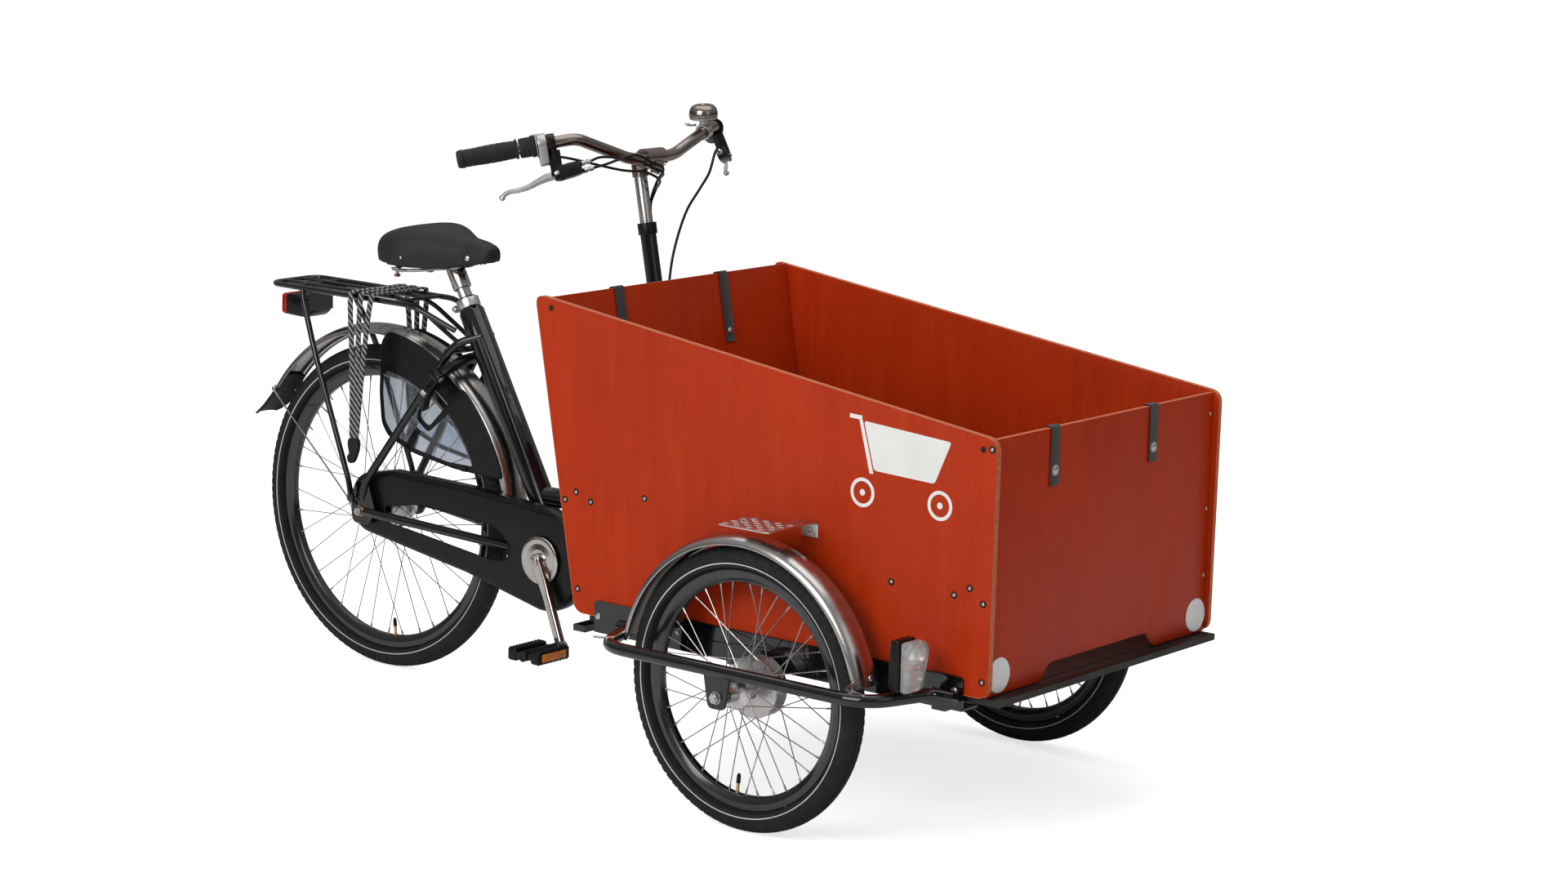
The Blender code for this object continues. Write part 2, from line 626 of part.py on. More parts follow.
def coat_guard_outline():
    edge = [(0.362 * math.cos(a), REAR_R + 0.362 * math.sin(a)) for a in
            [math.radians(d) for d in (17, 26, 35, 44, 48.6)]]
    notch = [(0.236, math.radians(50.5)), (0.236, math.radians(58.5))]
    rest = [(0.362 * math.cos(a), REAR_R + 0.362 * math.sin(a)) for a in
            [math.radians(d) for d in (60.4, 68, 76, 84)]]
    back = [(0.020, 0.660), (0.016, 0.560), (0.030, 0.486), (0.110, 0.452), (0.220, 0.436)]
    return edge + [(r * math.cos(a), REAR_R + r * math.sin(a)) for r, a in notch] + rest + back


def coat_guards():
    outline = coat_guard_outline()
    add("coat_guard_right", side_plate(outline, -0.0365, -0.0345), "smoky_plastic")
    add("coat_guard_left", side_plate(outline, 0.0345, 0.0365), "smoky_plastic")


def lock_frame():
    out = Vector((math.cos(LOCK_ANGLE), 0, math.sin(LOCK_ANGLE)))
    return REAR_AXLE + out * LOCK_R, out, out.cross(Y)


def lock_arc(section, start, end, steps, hollow=None):
    """Sweep a rectangle round the ring lock's centre; hollow is an inner rectangle."""
    centre, out, normal = lock_frame()
    bm = bmesh.new()
    rings = [section] + ([hollow] if hollow else [])
    rows = []
    for i in range(steps + 1):
        a = math.radians(start + (end - start) * i / steps)
        radial = out * math.cos(a) + Y * math.sin(a)
        rows.append([[bm.verts.new(centre + radial * (LOCK_RING + r) + normal * n) for r, n in
                      ((-h, -t), (h, -t), (h, t), (-h, t))] for h, t in rings])
    for i in range(steps):
        for k in range(len(rings)):
            one, two = rows[i][k], rows[i + 1][k]
            for j in range(4):
                bm.faces.new((one[j], one[(j + 1) % 4], two[(j + 1) % 4], two[j]))
    for row in (rows[0], rows[-1]):
        if hollow:
            for j in range(4):
                bm.faces.new((row[0][j], row[0][(j + 1) % 4], row[1][(j + 1) % 4], row[1][j]))
        else:
            bm.faces.new(row[0])
    return bm


def ring_lock():
    centre = lock_frame()[0]
    add("ring_lock_body", lock_arc((0.0070, 0.0085), -124, 124, 18, (0.0045, 0.0050)), "black_plastic")
    add("ring_lock_shackle", lock_arc((0.0038, 0.0042), -122, 15, 10), "steel", centre)


def ribbon(points, widths, thick):
    """A flat band along a path in the Y-Z plane, with its width along X at each point."""
    bm = bmesh.new()
    points = [Vector(p) for p in points]
    loops = []
    for i, (point, width) in enumerate(zip(points, widths)):
        before, after = points[max(0, i - 1)], points[min(len(points) - 1, i + 1)]
        along = (after - before).normalized()
        normal = X.cross(along).normalized()
        loops.append([bm.verts.new(point + X * sx * width / 2 + normal * sn * thick / 2) for sx, sn in
                      ((-1, -1), (1, -1), (1, 1), (-1, 1))])
    bridge(bm, loops, False)
    return bm


def bungee_straps():
    side = [(-0.014, 0.0790, 0.4350), (-0.014, 0.0790, 0.4680), (0.004, 0.0790, 0.4900),
            (0.006, 0.0770, 0.7450), (0.006, 0.0680, 0.7610)]
    widths = [0.026, 0.030, 0.020, 0.044, 0.046]
    points = [(x, -y, z) for x, y, z in side] + [(x, y, z) for x, y, z in side[::-1]]
    add("bungee_straps", ribbon(points, widths + widths[::-1], 0.0040), "elastic")


# ---------------------------------------------------------------- saddle
def lofted(stations):
    """Crowned cross-sections along X: each station is (x, half width, low z, high z)."""
    section = [(-0.90, 0.0), (-1.0, 0.42), (-0.80, 0.84), (-0.36, 1.0), (0.36, 1.0), (0.80, 0.84),
               (1.0, 0.42), (0.90, 0.0)]
    bm = bmesh.new()
    loops = []
    for x, half, low, high in stations:
        loops.append([bm.verts.new((x, half * u, low + (high - low) * h)) for u, h in section])
    bridge(bm, loops, False)
    return bm


def saddle():
    post_top, cap_top = 0.585, 0.603
    post = [(0.0004, 0.375), (POST_R, 0.375), (POST_R, post_top), (0.0004, post_top)]
    add("seat_post", turned(post, BB, SEAT_DIR, 14), "stainless", seat_point(0.375))
    sleeve = POST_R + GAP
    cup = [(0.0004, post_top + GAP), (sleeve, post_top + GAP), (sleeve, 0.560), (0.0180, 0.560),
           (0.0180, cap_top), (0.0004, cap_top)]
    clamp = turned(cup, BB, SEAT_DIR, 14)
    bolt_at = seat_point(cap_top) + Vector((-0.004, 0, 0.009))
    bolt = rod(bolt_at - Y * 0.030, bolt_at + Y * 0.030, 0.0120, 10)
    rails = []
    for side in (-1, 1):
        path = [(0.240, side * 0.010, 0.8455), (0.212, side * 0.019, 0.8270), (0.179, side * 0.022, 0.8230),
                (0.120, side * 0.026, 0.8140), (0.095, side * 0.044, 0.8120), (0.072, side * 0.046, 0.8120)]
        rails.append(tube(path, 0.0035, 8, 0.02, 2))
        rails.append(rod((0.072, side * 0.046, 0.8060), (0.072, side * 0.046, 0.8400), 0.0110, 12))
    rails.append(rod((0.240, -0.011, 0.8455), (0.240, 0.011, 0.8455), 0.0035, 8))
    add("saddle_frame", fuse(clamp, bolt, *rails), "chrome")
    under = [(x + 0.004, half - 0.011, 0.800, 0.8580) for x, half, low, high in SADDLE[1:-2]]
    add("saddle_cover", carve(lofted(SADDLE), lofted(under)), "saddle_skin")


# ---------------------------------------------------------------- steered platform and box
def rear_edge_x(z):
    """The side panel's sloping rear edge."""
    x_top, z_top = BOX_REAR_TOP
    return x_top + (BOX_REAR_BOTTOM_X - x_top) * (z_top - z) / (z_top - BOX_BOTTOM)


def platform_frame():
    x0, x1, z0, z1, thick = RAIL
    pieces = []
    for side in (-1, 1):
        y_in, y_out = PANEL_Y + GAP, PANEL_Y + GAP + thick
        y_a, y_b = sorted((side * y_in, side * y_out))
        pieces.append(block((x0, y_a, z0), (x1, y_b, z1)))
        y_a, y_b = sorted((side * 0.300, side * y_out))
        pieces.append(block((x0, y_a, z0), (x1, y_b, z0 + thick)))
        bracket = smooth_outline([(FRONT_X - 0.034, 0.300), (FRONT_X - 0.020, 0.226),
                                  (FRONT_X + 0.020, 0.226), (FRONT_X + 0.034, 0.300)], 0.012, 2)
        y_a, y_b = sorted((side * (y_out - 0.002), side * (y_out + 0.004)))
        pieces.append(side_plate(bracket, y_a, y_b))
    beam_low = z0 - 0.010
    for x in (0.800, 1.160, 1.600):
        pieces.append(block((x, -0.330, beam_low), (x + 0.028, 0.330, z0 + 0.002)))
    pieces.append(block((0.625, -0.020, 0.2285), (0.830, 0.020, 0.2425)))
    pieces.append(block((0.790, -0.020, 0.2285), (1.188, 0.020, beam_low + 0.002)))
    pieces.append(rod((KING_X, 0, 0.2280), (KING_X, 0, 0.2425), 0.027, 16))
    pieces.append(rod((KING_X, 0, 0.4375), (KING_X, 0, 0.4500), 0.025, 16))
    pieces.append(block((KING_X, -0.016, 0.4380), (0.776, 0.016, 0.4495)))
    pieces.append(rod(COLUMN_FOOT, COLUMN_TOP, COLUMN_R, 14))
    for z in (0.800, 0.560):
        spot = COLUMN_FOOT + COLUMN_DIR * (z - COLUMN_FOOT.z) / COLUMN_DIR.z
        wall_x = rear_edge_x(z) + REAR_WALL_INSET - 0.003
        pieces.append(block((spot.x, -0.024, z - 0.010), (wall_x, 0.024, z + 0.010)))
    frame = fuse(*pieces)
    cuts = [
        rod((KING_X, 0, 0.2), (KING_X, 0, 0.5), KINGPIN_R + 0.0005, 16),
        rod(COLUMN_TOP - COLUMN_DIR * 0.260, COLUMN_TOP + COLUMN_DIR * 0.01, STEM_R + GAP, 14),
        rod((FRONT_X, -0.37, FRONT_R), (FRONT_X, 0.37, FRONT_R), 0.0066, 12),
    ]
    add("platform_frame", carve(frame, *cuts), "black_paint", (KING_X, 0, 0))
    pin = [(0.0004, 0.2240), (0.0150, 0.2240), (0.0150, 0.2275), (KINGPIN_R, 0.2275), (KINGPIN_R, 0.4505),
           (0.0150, 0.4505), (0.0150, 0.4560), (0.0004, 0.4560)]
    add("kingpin", turned(pin, (KING_X, 0, 0), Z, 16), "steel", (KING_X, 0, 0))


def cargo_box():
    origin = (KING_X, 0, 0)
    x0, x1, z0, z1 = FLOOR
    front_x = BOX_FRONT_X - FRONT_WALL_INSET
    low = z1 - FLOOR_REBATE
    inner_rear, inner_front = BOX_REAR_BOTTOM_X + REAR_WALL_INSET + PLY + 0.002, front_x - PLY - 0.001
    outline = [(x0, z0), (x1, z0), (x1, low), (inner_front, low), (inner_front, z1), (inner_rear, z1),
               (inner_rear, low), (x0, low)]
    half = PANEL_Y - PLY - GAP
    add("floor_board", side_plate(outline, -half, half), "phenolic_board", origin)
    outline = smooth_outline([(BOX_REAR_BOTTOM_X, BOX_BOTTOM), (BOX_FRONT_X, BOX_BOTTOM), BOX_FRONT_TOP,
                              BOX_REAR_TOP], 0.022, 3)
    outer, inner = PANEL_Y, PANEL_Y - PLY
    add("side_panel_right", side_plate(outline, -outer, -inner), "plywood", origin)
    add("side_panel_left", side_plate(outline, inner, outer), "plywood", origin)
    z_top = BOX_REAR_TOP[1] - 0.005
    low_x, high_x = rear_edge_x(BOX_BOTTOM) + REAR_WALL_INSET, rear_edge_x(z_top) + REAR_WALL_INSET
    run = PLY / math.cos(math.atan2(low_x - high_x, z_top - BOX_BOTTOM))
    wall = [(low_x, BOX_BOTTOM), (low_x + run, BOX_BOTTOM), (high_x + run, z_top), (high_x, z_top)]
    add("rear_wall", side_plate(wall, -half, half), "plywood", origin)
    top = BOX_FRONT_TOP[1] - 0.002
    outline = [(-half, BOX_BOTTOM), (-0.176, BOX_BOTTOM), (-0.152, BOX_BOTTOM + 0.028),
               (0.144, BOX_BOTTOM + 0.028), (0.168, BOX_BOTTOM), (half, BOX_BOTTOM),
               (half, top), (-half, top)]
    wall = prism(outline, front_x - PLY, front_x, lambda u, v, d: Vector((d, u, v)))
    add("front_wall", wall, "plywood", origin)


def wheel_fittings(side, name):
    origin = (KING_X, 0, 0)
    points = [(x, side * y, GUARD_Z) for x, y in GUARD_POINTS]
    bar = tube(points, GUARD_R, 9, 0.045, 3)
    bracket = smooth_outline([(FRONT_X - 0.030, GUARD_Z + 0.002), (FRONT_X - 0.018, 0.228),
                              (FRONT_X + 0.018, 0.228), (FRONT_X + 0.030, GUARD_Z + 0.002)], 0.010, 2)
    y_a, y_b = sorted((side * 0.4815, side * 0.4870))
    guard = fuse(bar, side_plate(bracket, y_a, y_b))
    hole = rod((FRONT_X, side * 0.46, FRONT_R), (FRONT_X, side * 0.51, FRONT_R), 0.0066, 12)
    add(f"wheel_guard_{name}", carve(guard, hole), "black_paint", origin)
    centre = Vector((FRONT_X, side * FRONT_Y, FRONT_R))
    add(f"front_mudguard_{name}", arc_shell(centre, 0.2700, 0.030, 13, 167, 13), "stainless", origin)
    y_in = PANEL_Y + 0.0005
    step = [(y_in, 0.5150), (y_in + 0.0025, 0.5150), (y_in + 0.0025, 0.5405), (0.4700, 0.5405),
            (0.4700, 0.5430), (y_in, 0.5430)]
    bracket = prism([(side * u, v) for u, v in step], 1.326, 1.360, lambda u, v, d: Vector((d, u, v)))
    y_a, y_b = sorted((side * 0.3980, side * 0.4780))
    plate = block((1.254, y_a, 0.5425), (1.364, y_b, 0.5450))
    add(f"step_plate_{name}", fuse(plate, bracket), "alloy", origin)


def headlight():
    body = smooth_outline([(1.589, 0.318), (1.600, 0.3068), (1.640, 0.3068), (1.644, 0.318),
                           (1.654, 0.384), (1.640, 0.394), (1.596, 0.394)], 0.006, 2)
    add("headlight", side_plate(body, -0.440, -0.392), "black_plastic", (KING_X, 0, 0))


# ---------------------------------------------------------------- handlebar
def bar_path():
    right = [Vector((x, -y, z)) for x, y, z in BAR_POINTS]
    left = [Vector(p) for p in BAR_POINTS]
    return right[::-1] + left


def grip_axis(side):
    """Start and direction of the straight end of the bar."""
    start = Vector(BAR_POINTS[2])
    end = Vector(BAR_POINTS[3])
    start.y *= side
    end.y *= side
    return start, (end - start).normalized(), (end - start).length


def handlebar():
    origin = COLUMN_TOP
    stem_foot = COLUMN_TOP - COLUMN_DIR * 0.150
    stem_top = COLUMN_TOP + COLUMN_DIR * 0.107
    stem = fuse(rod(stem_foot, stem_top, STEM_R, 14),
                rod(stem_top - COLUMN_DIR * 0.012, BAR_CLAMP, 0.0125, 12),
                rod(BAR_CLAMP - Y * 0.026, BAR_CLAMP + Y * 0.026, 0.0180, 16))
    bore = rod(BAR_CLAMP - Y * 0.04, BAR_CLAMP + Y * 0.04, BAR_R + GAP, 16)
    add("handlebar_stem", carve(stem, bore), "nickel", origin)
    path = bar_path()
    middle = [BAR_CLAMP + Y * -0.030, BAR_CLAMP + Y * 0.030]
    path = path[:4] + middle + path[4:]
    add("handlebar", tube(path, BAR_R, 10, 0.030, 2), "nickel", origin)
    for side, name in ((-1, "right"), (1, "left")):
        start, along, length = grip_axis(side)
        sleeve = BAR_R + GAP
        first = 0.070 if side < 0 else 0.042
        grip = [(sleeve, first), (0.0178, first), (0.0160, first + 0.010), (0.0165, length - 0.010),
                (0.0140, length + 0.004), (0.0008, length + 0.004), (0.0008, length + 0.0008),
                (sleeve, length + 0.0008)]
        add(f"grip_{name}", turned(grip, start, along, 16), "rubber", start)
        clamp = ring(sleeve, 0.0165, 0.018, 0.034, start, along, 16)
        pivot, ahead, towards, hinge = lever_frame(side)
        housing = tube([start + along * 0.026 - TO_BAR * 0.25, pivot, pivot + cable_exit(side)],
                       (0.0080, 0.0090), 8)
        slot = [(-0.012, -0.030), (0.040, -0.030), (0.040, 0.030), (-0.012, 0.012)]
        cutter = prism(slot, -0.0035, 0.0035,
                       lambda u, v, d: pivot + ahead * u + towards * v + hinge * d)
        add(f"brake_bracket_{name}", carve(fuse(clamp, housing), cutter), "black_plastic", origin)
        brake_lever(name, pivot, ahead, towards, hinge)
    twist()
    bell()


def lever_frame(side):
    """A brake lever's pivot, and the directions along it, towards the bar and of its hinge."""
    start, along, _ = grip_axis(side)
    ahead = (along - Z * LEVER_DROP).normalized()
    hinge = ahead.cross(TO_BAR).normalized()
    return start + along * 0.020 - TO_BAR, ahead, hinge.cross(ahead), hinge


def cable_exit(side):
    """From a lever's pivot to where its cable leaves the bracket."""
    return Vector((0.022, -side * 0.042, 0.012))


def brake_lever(name, pivot, ahead, towards, hinge):
    outline = [(-0.007, 0.005), (0.020, 0.006), (0.060, -0.002), (0.090, -0.0005), (0.104, -0.004),
               (0.102, -0.012), (0.088, -0.012), (0.058, -0.014), (0.020, -0.008), (-0.007, -0.006)]
    blade = prism(outline, -0.0028, 0.0028, lambda u, v, d: pivot + ahead * u + towards * v + hinge * d)
    add(f"brake_lever_{name}", blade, "alloy", pivot)


def twist():
    start, along, length = grip_axis(-1)
    profile = [(BAR_R + GAP, 0.038), (0.0185, 0.038), (0.0200, 0.042), (0.0185, 0.046), (0.0170, 0.067),
               (BAR_R + GAP, 0.067)]
    add("twist_grip", turned(profile, start, along, 18), "rubber", start + along * 0.050)


def bell():
    """A dome over a base that is clamped round the bar, with a thumb lever."""
    up = Vector((0.0, -0.10, 1.0)).normalized()
    clamp_axis = (Vector(BAR_POINTS[1]) - Vector(BAR_POINTS[0])).normalized()
    on_bar = Vector(BAR_POINTS[0]).lerp(Vector(BAR_POINTS[1]), 0.80)
    shell = [(0.0004, 0.0240), (0.0268, 0.0240), (0.0268, 0.0290), (0.0255, 0.0400), (0.0190, 0.0480),
             (0.0090, 0.0515), (0.0004, 0.0520)]
    clamp = ring(BAR_R + GAP, 0.0160, -0.007, 0.007, on_bar, clamp_axis, 14)
    post = rod(on_bar + up * 0.0135, on_bar + up * 0.0250, 0.0070, 10)
    add("bell", fuse(turned(shell, on_bar, up, 16), clamp, post), "chrome", COLUMN_TOP)
    pivot = on_bar + up * 0.0165 + Vector((-0.024, 0, -0.0020))
    thumb = tube([pivot + Vector((0.004, 0, -0.004)), pivot + Vector((-0.020, 0.004, -0.006))], 0.0022, 6)
    add("bell_lever", thumb, "steel", pivot)


# ---------------------------------------------------------------- assembly
def build():
    clear_scene()
    main_frame()
    rear_axle()
    chain_case()
    drive()
    rear_wheel()
    rear_mudguard()
    rear_rack()
    coat_guards()
    ring_lock()
    bungee_straps()
    saddle()
    platform_frame()
    cargo_box()
    headlight()
    for side, name in ((-1, "right"), (1, "left")):
        front_wheel(side, name)
        front_axle(side, name)
        wheel_fittings(side, name)
    handlebar()


build()
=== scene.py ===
"""Looks of the box tricycle: fine surfaces and materials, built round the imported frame.

Metres, +X forwards, +Y to the rider's left, +Z up, in the same frame as the CAD part.
"""
import json
import math

import bmesh
import bpy
from mathutils import Matrix, Vector


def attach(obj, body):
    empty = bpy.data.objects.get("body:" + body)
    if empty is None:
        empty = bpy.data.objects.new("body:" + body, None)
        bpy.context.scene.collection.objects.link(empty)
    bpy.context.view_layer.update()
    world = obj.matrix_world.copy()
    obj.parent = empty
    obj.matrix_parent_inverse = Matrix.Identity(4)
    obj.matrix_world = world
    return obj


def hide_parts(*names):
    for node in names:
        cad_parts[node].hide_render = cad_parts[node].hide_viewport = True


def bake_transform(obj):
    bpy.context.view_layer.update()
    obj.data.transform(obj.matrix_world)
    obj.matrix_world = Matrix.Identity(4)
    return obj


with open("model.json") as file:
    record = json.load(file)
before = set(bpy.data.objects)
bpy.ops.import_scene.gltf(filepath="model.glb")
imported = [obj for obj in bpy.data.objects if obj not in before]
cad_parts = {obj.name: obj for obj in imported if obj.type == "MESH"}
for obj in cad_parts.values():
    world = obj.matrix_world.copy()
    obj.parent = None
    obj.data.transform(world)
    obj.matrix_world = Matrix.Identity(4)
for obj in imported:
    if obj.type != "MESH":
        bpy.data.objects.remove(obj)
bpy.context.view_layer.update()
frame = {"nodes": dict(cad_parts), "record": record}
NODES = frame["nodes"]
SLOTS = {part["node"]: part["material_slot"] for part in frame["record"]["subparts"]}
X, Y, Z = Vector((1, 0, 0)), Vector((0, 1, 0)), Vector((0, 0, 1))
SIDES = ((-1, "right"), (1, "left"))


# ---------------------------------------------------------------- places and sizes, in metres
SOFT_BEND = 0.48                      # share of an edge that a bend may take up at most
GAP = 0.0004                          # between parts that fit into each other
TYRE_HALF = 0.0235
TYRE_DEPTH = 0.0391
RIM_DEPTH = 0.0235
REAR_AXLE = Vector((0, 0, 0.325))
FRONT_AXLE_X, FRONT_AXLE_Y = 1.266, 0.405
FRONT_R = 0.248
BB = Vector((0.475, 0, 0.296))
CRANK = 0.17
CRANK_ANGLE = math.radians(-63)
CHAIN_Y, CHAIN_PITCH = -0.047, 0.0127
SEAT_TOP = Vector((0.217, 0, 0.762))
SEAT_DIR = (SEAT_TOP - BB).normalized()
SEAT_LENGTH = (SEAT_TOP - BB).length
KING_X = 0.62
HEAD_Z = (0.245, 0.435)
PANEL_Y, PLY = 0.339, 0.0093
BOX_BOTTOM = 0.2975
BOX_REAR_TOP, BOX_FRONT_TOP = (0.71, 0.861), (1.724, 0.729)
BOX_REAR_BOTTOM_X, BOX_FRONT_X = 0.812, 1.72
REAR_WALL_INSET, FRONT_WALL_INSET = 0.022, 0.009
RAIL = (0.862, 1.672, 0.27, 0.328, 0.004)   # x from, x to, z from, z to, wall
COLUMN_FOOT, COLUMN_TOP = Vector((0.8085, 0, 0.268)), Vector((0.6745, 0, 0.955))
COLUMN_DIR = (COLUMN_TOP - COLUMN_FOOT).normalized()
BAR_CLAMP = Vector((0.685, 0, 1.078))
STEM_RISE = 0.107
BAR_R = 0.011
BAR_POINTS = [(0.685, 0.062, 1.08), (0.668, 0.19, 1.124), (0.648, 0.222, 1.118),
              (0.533, 0.352, 1.086)]
GUARD_Z = 0.2945
GUARD_POINTS = [(0.935, 0.3575), (0.962, 0.3575), (1.005, 0.484), (1.58, 0.484),
                (1.622, 0.3575), (1.668, 0.3575)]
LOCK_ANGLE, LOCK_R, LOCK_RING = math.radians(54.5), 0.324, 0.077
SADDLE = [(0.026, 0.028, 0.846, 0.858), (0.03, 0.046, 0.838, 0.866), (0.044, 0.074, 0.833, 0.88),
          (0.07, 0.094, 0.828, 0.89), (0.102, 0.1, 0.824, 0.897), (0.138, 0.09, 0.822, 0.901),
          (0.172, 0.07, 0.821, 0.899), (0.206, 0.05, 0.824, 0.89), (0.232, 0.037, 0.829, 0.882),
          (0.26, 0.03, 0.834, 0.878), (0.284, 0.024, 0.838, 0.871), (0.294, 0.013, 0.846, 0.862)]
TO_BAR = Vector((-0.03, 0, 0.052))    # from a brake lever's pivot up to the bar
SPOKES = 36                           # in every wheel
PRINT = 0.0003                        # thickness of the sign on the box
VENEERS = 0.0031                      # from one dark veneer to the next in the sawn edge
STRAP_WIDE, STRAP_THICK = 0.025, 0.0016
STUFFING_STEPS, STUFFING_REACH = 20, 0.004
BALL_R = 0.0056                       # at a lever's tip
LEVER_DROP = 0.12                     # how far a lever points down for each metre outwards
CAMERA_PLACE = (4.99524, -4.97281, 1.768)
CAMERA_ANGLES = (128.7022, -10.4737, 1.224)   # yaw, pitch and roll in degrees
CAMERA_LENS = 82.12                   # mm, on a sensor 36 mm wide
WORLD_STRENGTH, FLOOR_GLOW = 0.44, 0.7
LAMPS = [("key", (1.2, -4.2, 2.6), (0.8, 0, 0.5), (3.0, 2.4), 115),   # place, aim, size and watts
         ("overhead", (0.7, 0.3, 3.6), (0.7, 0, 0.4), (4.5, 3.0), 55),
         ("front", (4.6, -0.8, 2.2), (1.2, 0, 0.5), (1.6, 2.0), 6)]


# ---------------------------------------------------------------- material nodes
class Nodes:
    """Short calls for a node tree. Values are numbers, colours or other nodes' outputs."""

    def __init__(self, tree, shader=None):
        self.tree = tree
        self.shader = shader

    def put(self, socket, value, node=None):
        socket = (node or self.shader).inputs[socket]
        if isinstance(value, bpy.types.NodeSocket):
            self.tree.links.new(value, socket)
        else:
            socket.default_value = value

    def node(self, kind, settings=None, **inputs):
        made = self.tree.nodes.new("ShaderNode" + kind)
        for key, value in (settings or {}).items():
            setattr(made, key, value)
        for key, value in inputs.items():
            self.put(key.replace("_", " "), value, made)
        return made

    def between(self, value, low, high, start=0.3, end=0.7):
        made = self.node("MapRange", Value=value)
        for index, number in enumerate((start, end, low, high)):
            made.inputs[index + 1].default_value = number
        return made.outputs["Result"]

    def mixed(self, share, one, two):
        made = self.node("Mix", {"data_type": "RGBA"})
        for index, value in ((0, share), (6, one), (7, two)):
            value = (*value, 1) if isinstance(value, (tuple, list)) and len(value) == 3 else value
            self.put(index, value, made)
        return made.outputs[2]

    def maths(self, one, two=None, operation="ADD"):
        made = self.node("Math", {"operation": operation})
        self.put(0, one, made)
        if two is not None:
            self.put(1, two, made)
        return made.outputs[0]


class Surface(Nodes):
    """A Principled material whose textures use object coordinates."""

    def __init__(self, name, metallic=0.0, **inputs):
        self.mat = bpy.data.materials.new(name)
        self.mat.use_nodes = True
        tree = self.mat.node_tree
        super().__init__(tree, tree.nodes["Principled BSDF"])
        self.place = self.node("TexCoord").outputs["Object"]
        self.put("Metallic", metallic)
        for key, value in inputs.items():
            self.put(key.replace("_", " "), value)

    def noise(self, scale, detail=3.0, stretch=(1, 1, 1)):
        place = self.node("Mapping", Vector=self.place, Scale=stretch).outputs["Vector"]
        return self.node("TexNoise", Vector=place, Scale=scale, Detail=detail).outputs["Fac"]

    def bumps(self, height, strength, distance):
        made = self.node("Bump", Height=height, Strength=strength, Distance=distance)
        self.put("Normal", made.outputs["Normal"])


def shade(colour, factor):
    return tuple(min(1.0, c * factor) for c in colour)


def plain_finish(name, colour, rough, metallic=0.0, mottle=0.12, patch=14.0, grain=500.0, depth=0.0002,
                 stretch=(1, 1, 1), strength=0.35, spread=0.08, **inputs):
    """Mottled colour, uneven gloss and a fine surface grain."""
    s = Surface(name, metallic, **inputs)
    cloud = s.noise(patch, 4.0)
    s.put("Base Color", s.mixed(s.between(cloud, 0, 1), shade(colour, 1 - mottle), shade(colour, 1 + mottle)))
    fine = s.noise(grain, 2.0, stretch)
    marks = s.maths(s.between(fine, -spread, spread), s.between(s.noise(patch * 2.7), rough - spread,
            rough + spread))
    s.put("Roughness", marks)
    if strength:
        s.bumps(fine, strength, depth)
    return s.mat


def plywood_face(name, colour):
    """Stained birch ply under satin lacquer: long soft figure, fine pores and cloudy stain."""
    s = Surface(name, IOR=1.48)
    cloud = s.noise(2.6, 5.0)
    figure = s.noise(11.0, 5.0, (3.0, 3.0, 0.35))
    pores = s.noise(95.0, 3.0, (3.4, 3.4, 0.16))
    cross = s.noise(240.0, 2.0, (0.14, 0.14, 2.2))
    base = s.mixed(s.between(cloud, 0, 1, 0.32, 0.68), shade(colour, 0.88), shade(colour, 1.1))
    base = s.mixed(s.between(figure, 0.0, 0.3, 0.42, 0.7), base, (0.5, 0.052, 0.008))
    base = s.mixed(s.between(pores, 0.0, 0.26, 0.5, 0.74), base, (0.22, 0.012, 0.002))
    base = s.mixed(s.between(cross, 0.0, 0.18, 0.52, 0.74), base, (0.28, 0.017, 0.003))
    s.put("Base Color", base)
    s.put("Roughness", s.between(cloud, 0.3, 0.44))
    s.put("Specular IOR Level", 0.14)
    s.put("Coat Weight", 0.05)
    s.put("Coat Roughness", 0.25)
    s.bumps(s.maths(pores, s.maths(cross, 0.5, "MULTIPLY")), 0.35, 0.0003)
    return s.mat


def plywood_edge(name, axis):
    """The sawn edge: lighter, with its veneers showing as stripes across the thickness."""
    s = Surface(name)
    along = s.node("SeparateXYZ", Vector=s.place).outputs[axis]
    layers = s.maths(s.maths(along, 2 * math.pi / VENEERS, "MULTIPLY"), None, "SINE")
    speck = s.noise(160.0, 3.0)
    wood = s.mixed(s.between(speck, 0, 1), (0.62, 0.17, 0.06), (0.5, 0.1, 0.03))
    s.put("Base Color", s.mixed(s.between(layers, 0.0, 0.6, 0.2, 0.8), wood, (0.36, 0.055, 0.015)))
    s.put("Roughness", s.between(speck, 0.45, 0.65))
    s.bumps(speck, 0.4, 0.0004)
    return s.mat


def brushed(name, colour, rough, stretch, mottle=0.1):
    """Polished metal: handling marks in its gloss, drawn out along `stretch`, and no relief."""
    return plain_finish(name, colour, rough, 1.0, mottle, patch=9.0, grain=160.0, stretch=stretch,
                        strength=0.0, spread=0.03)


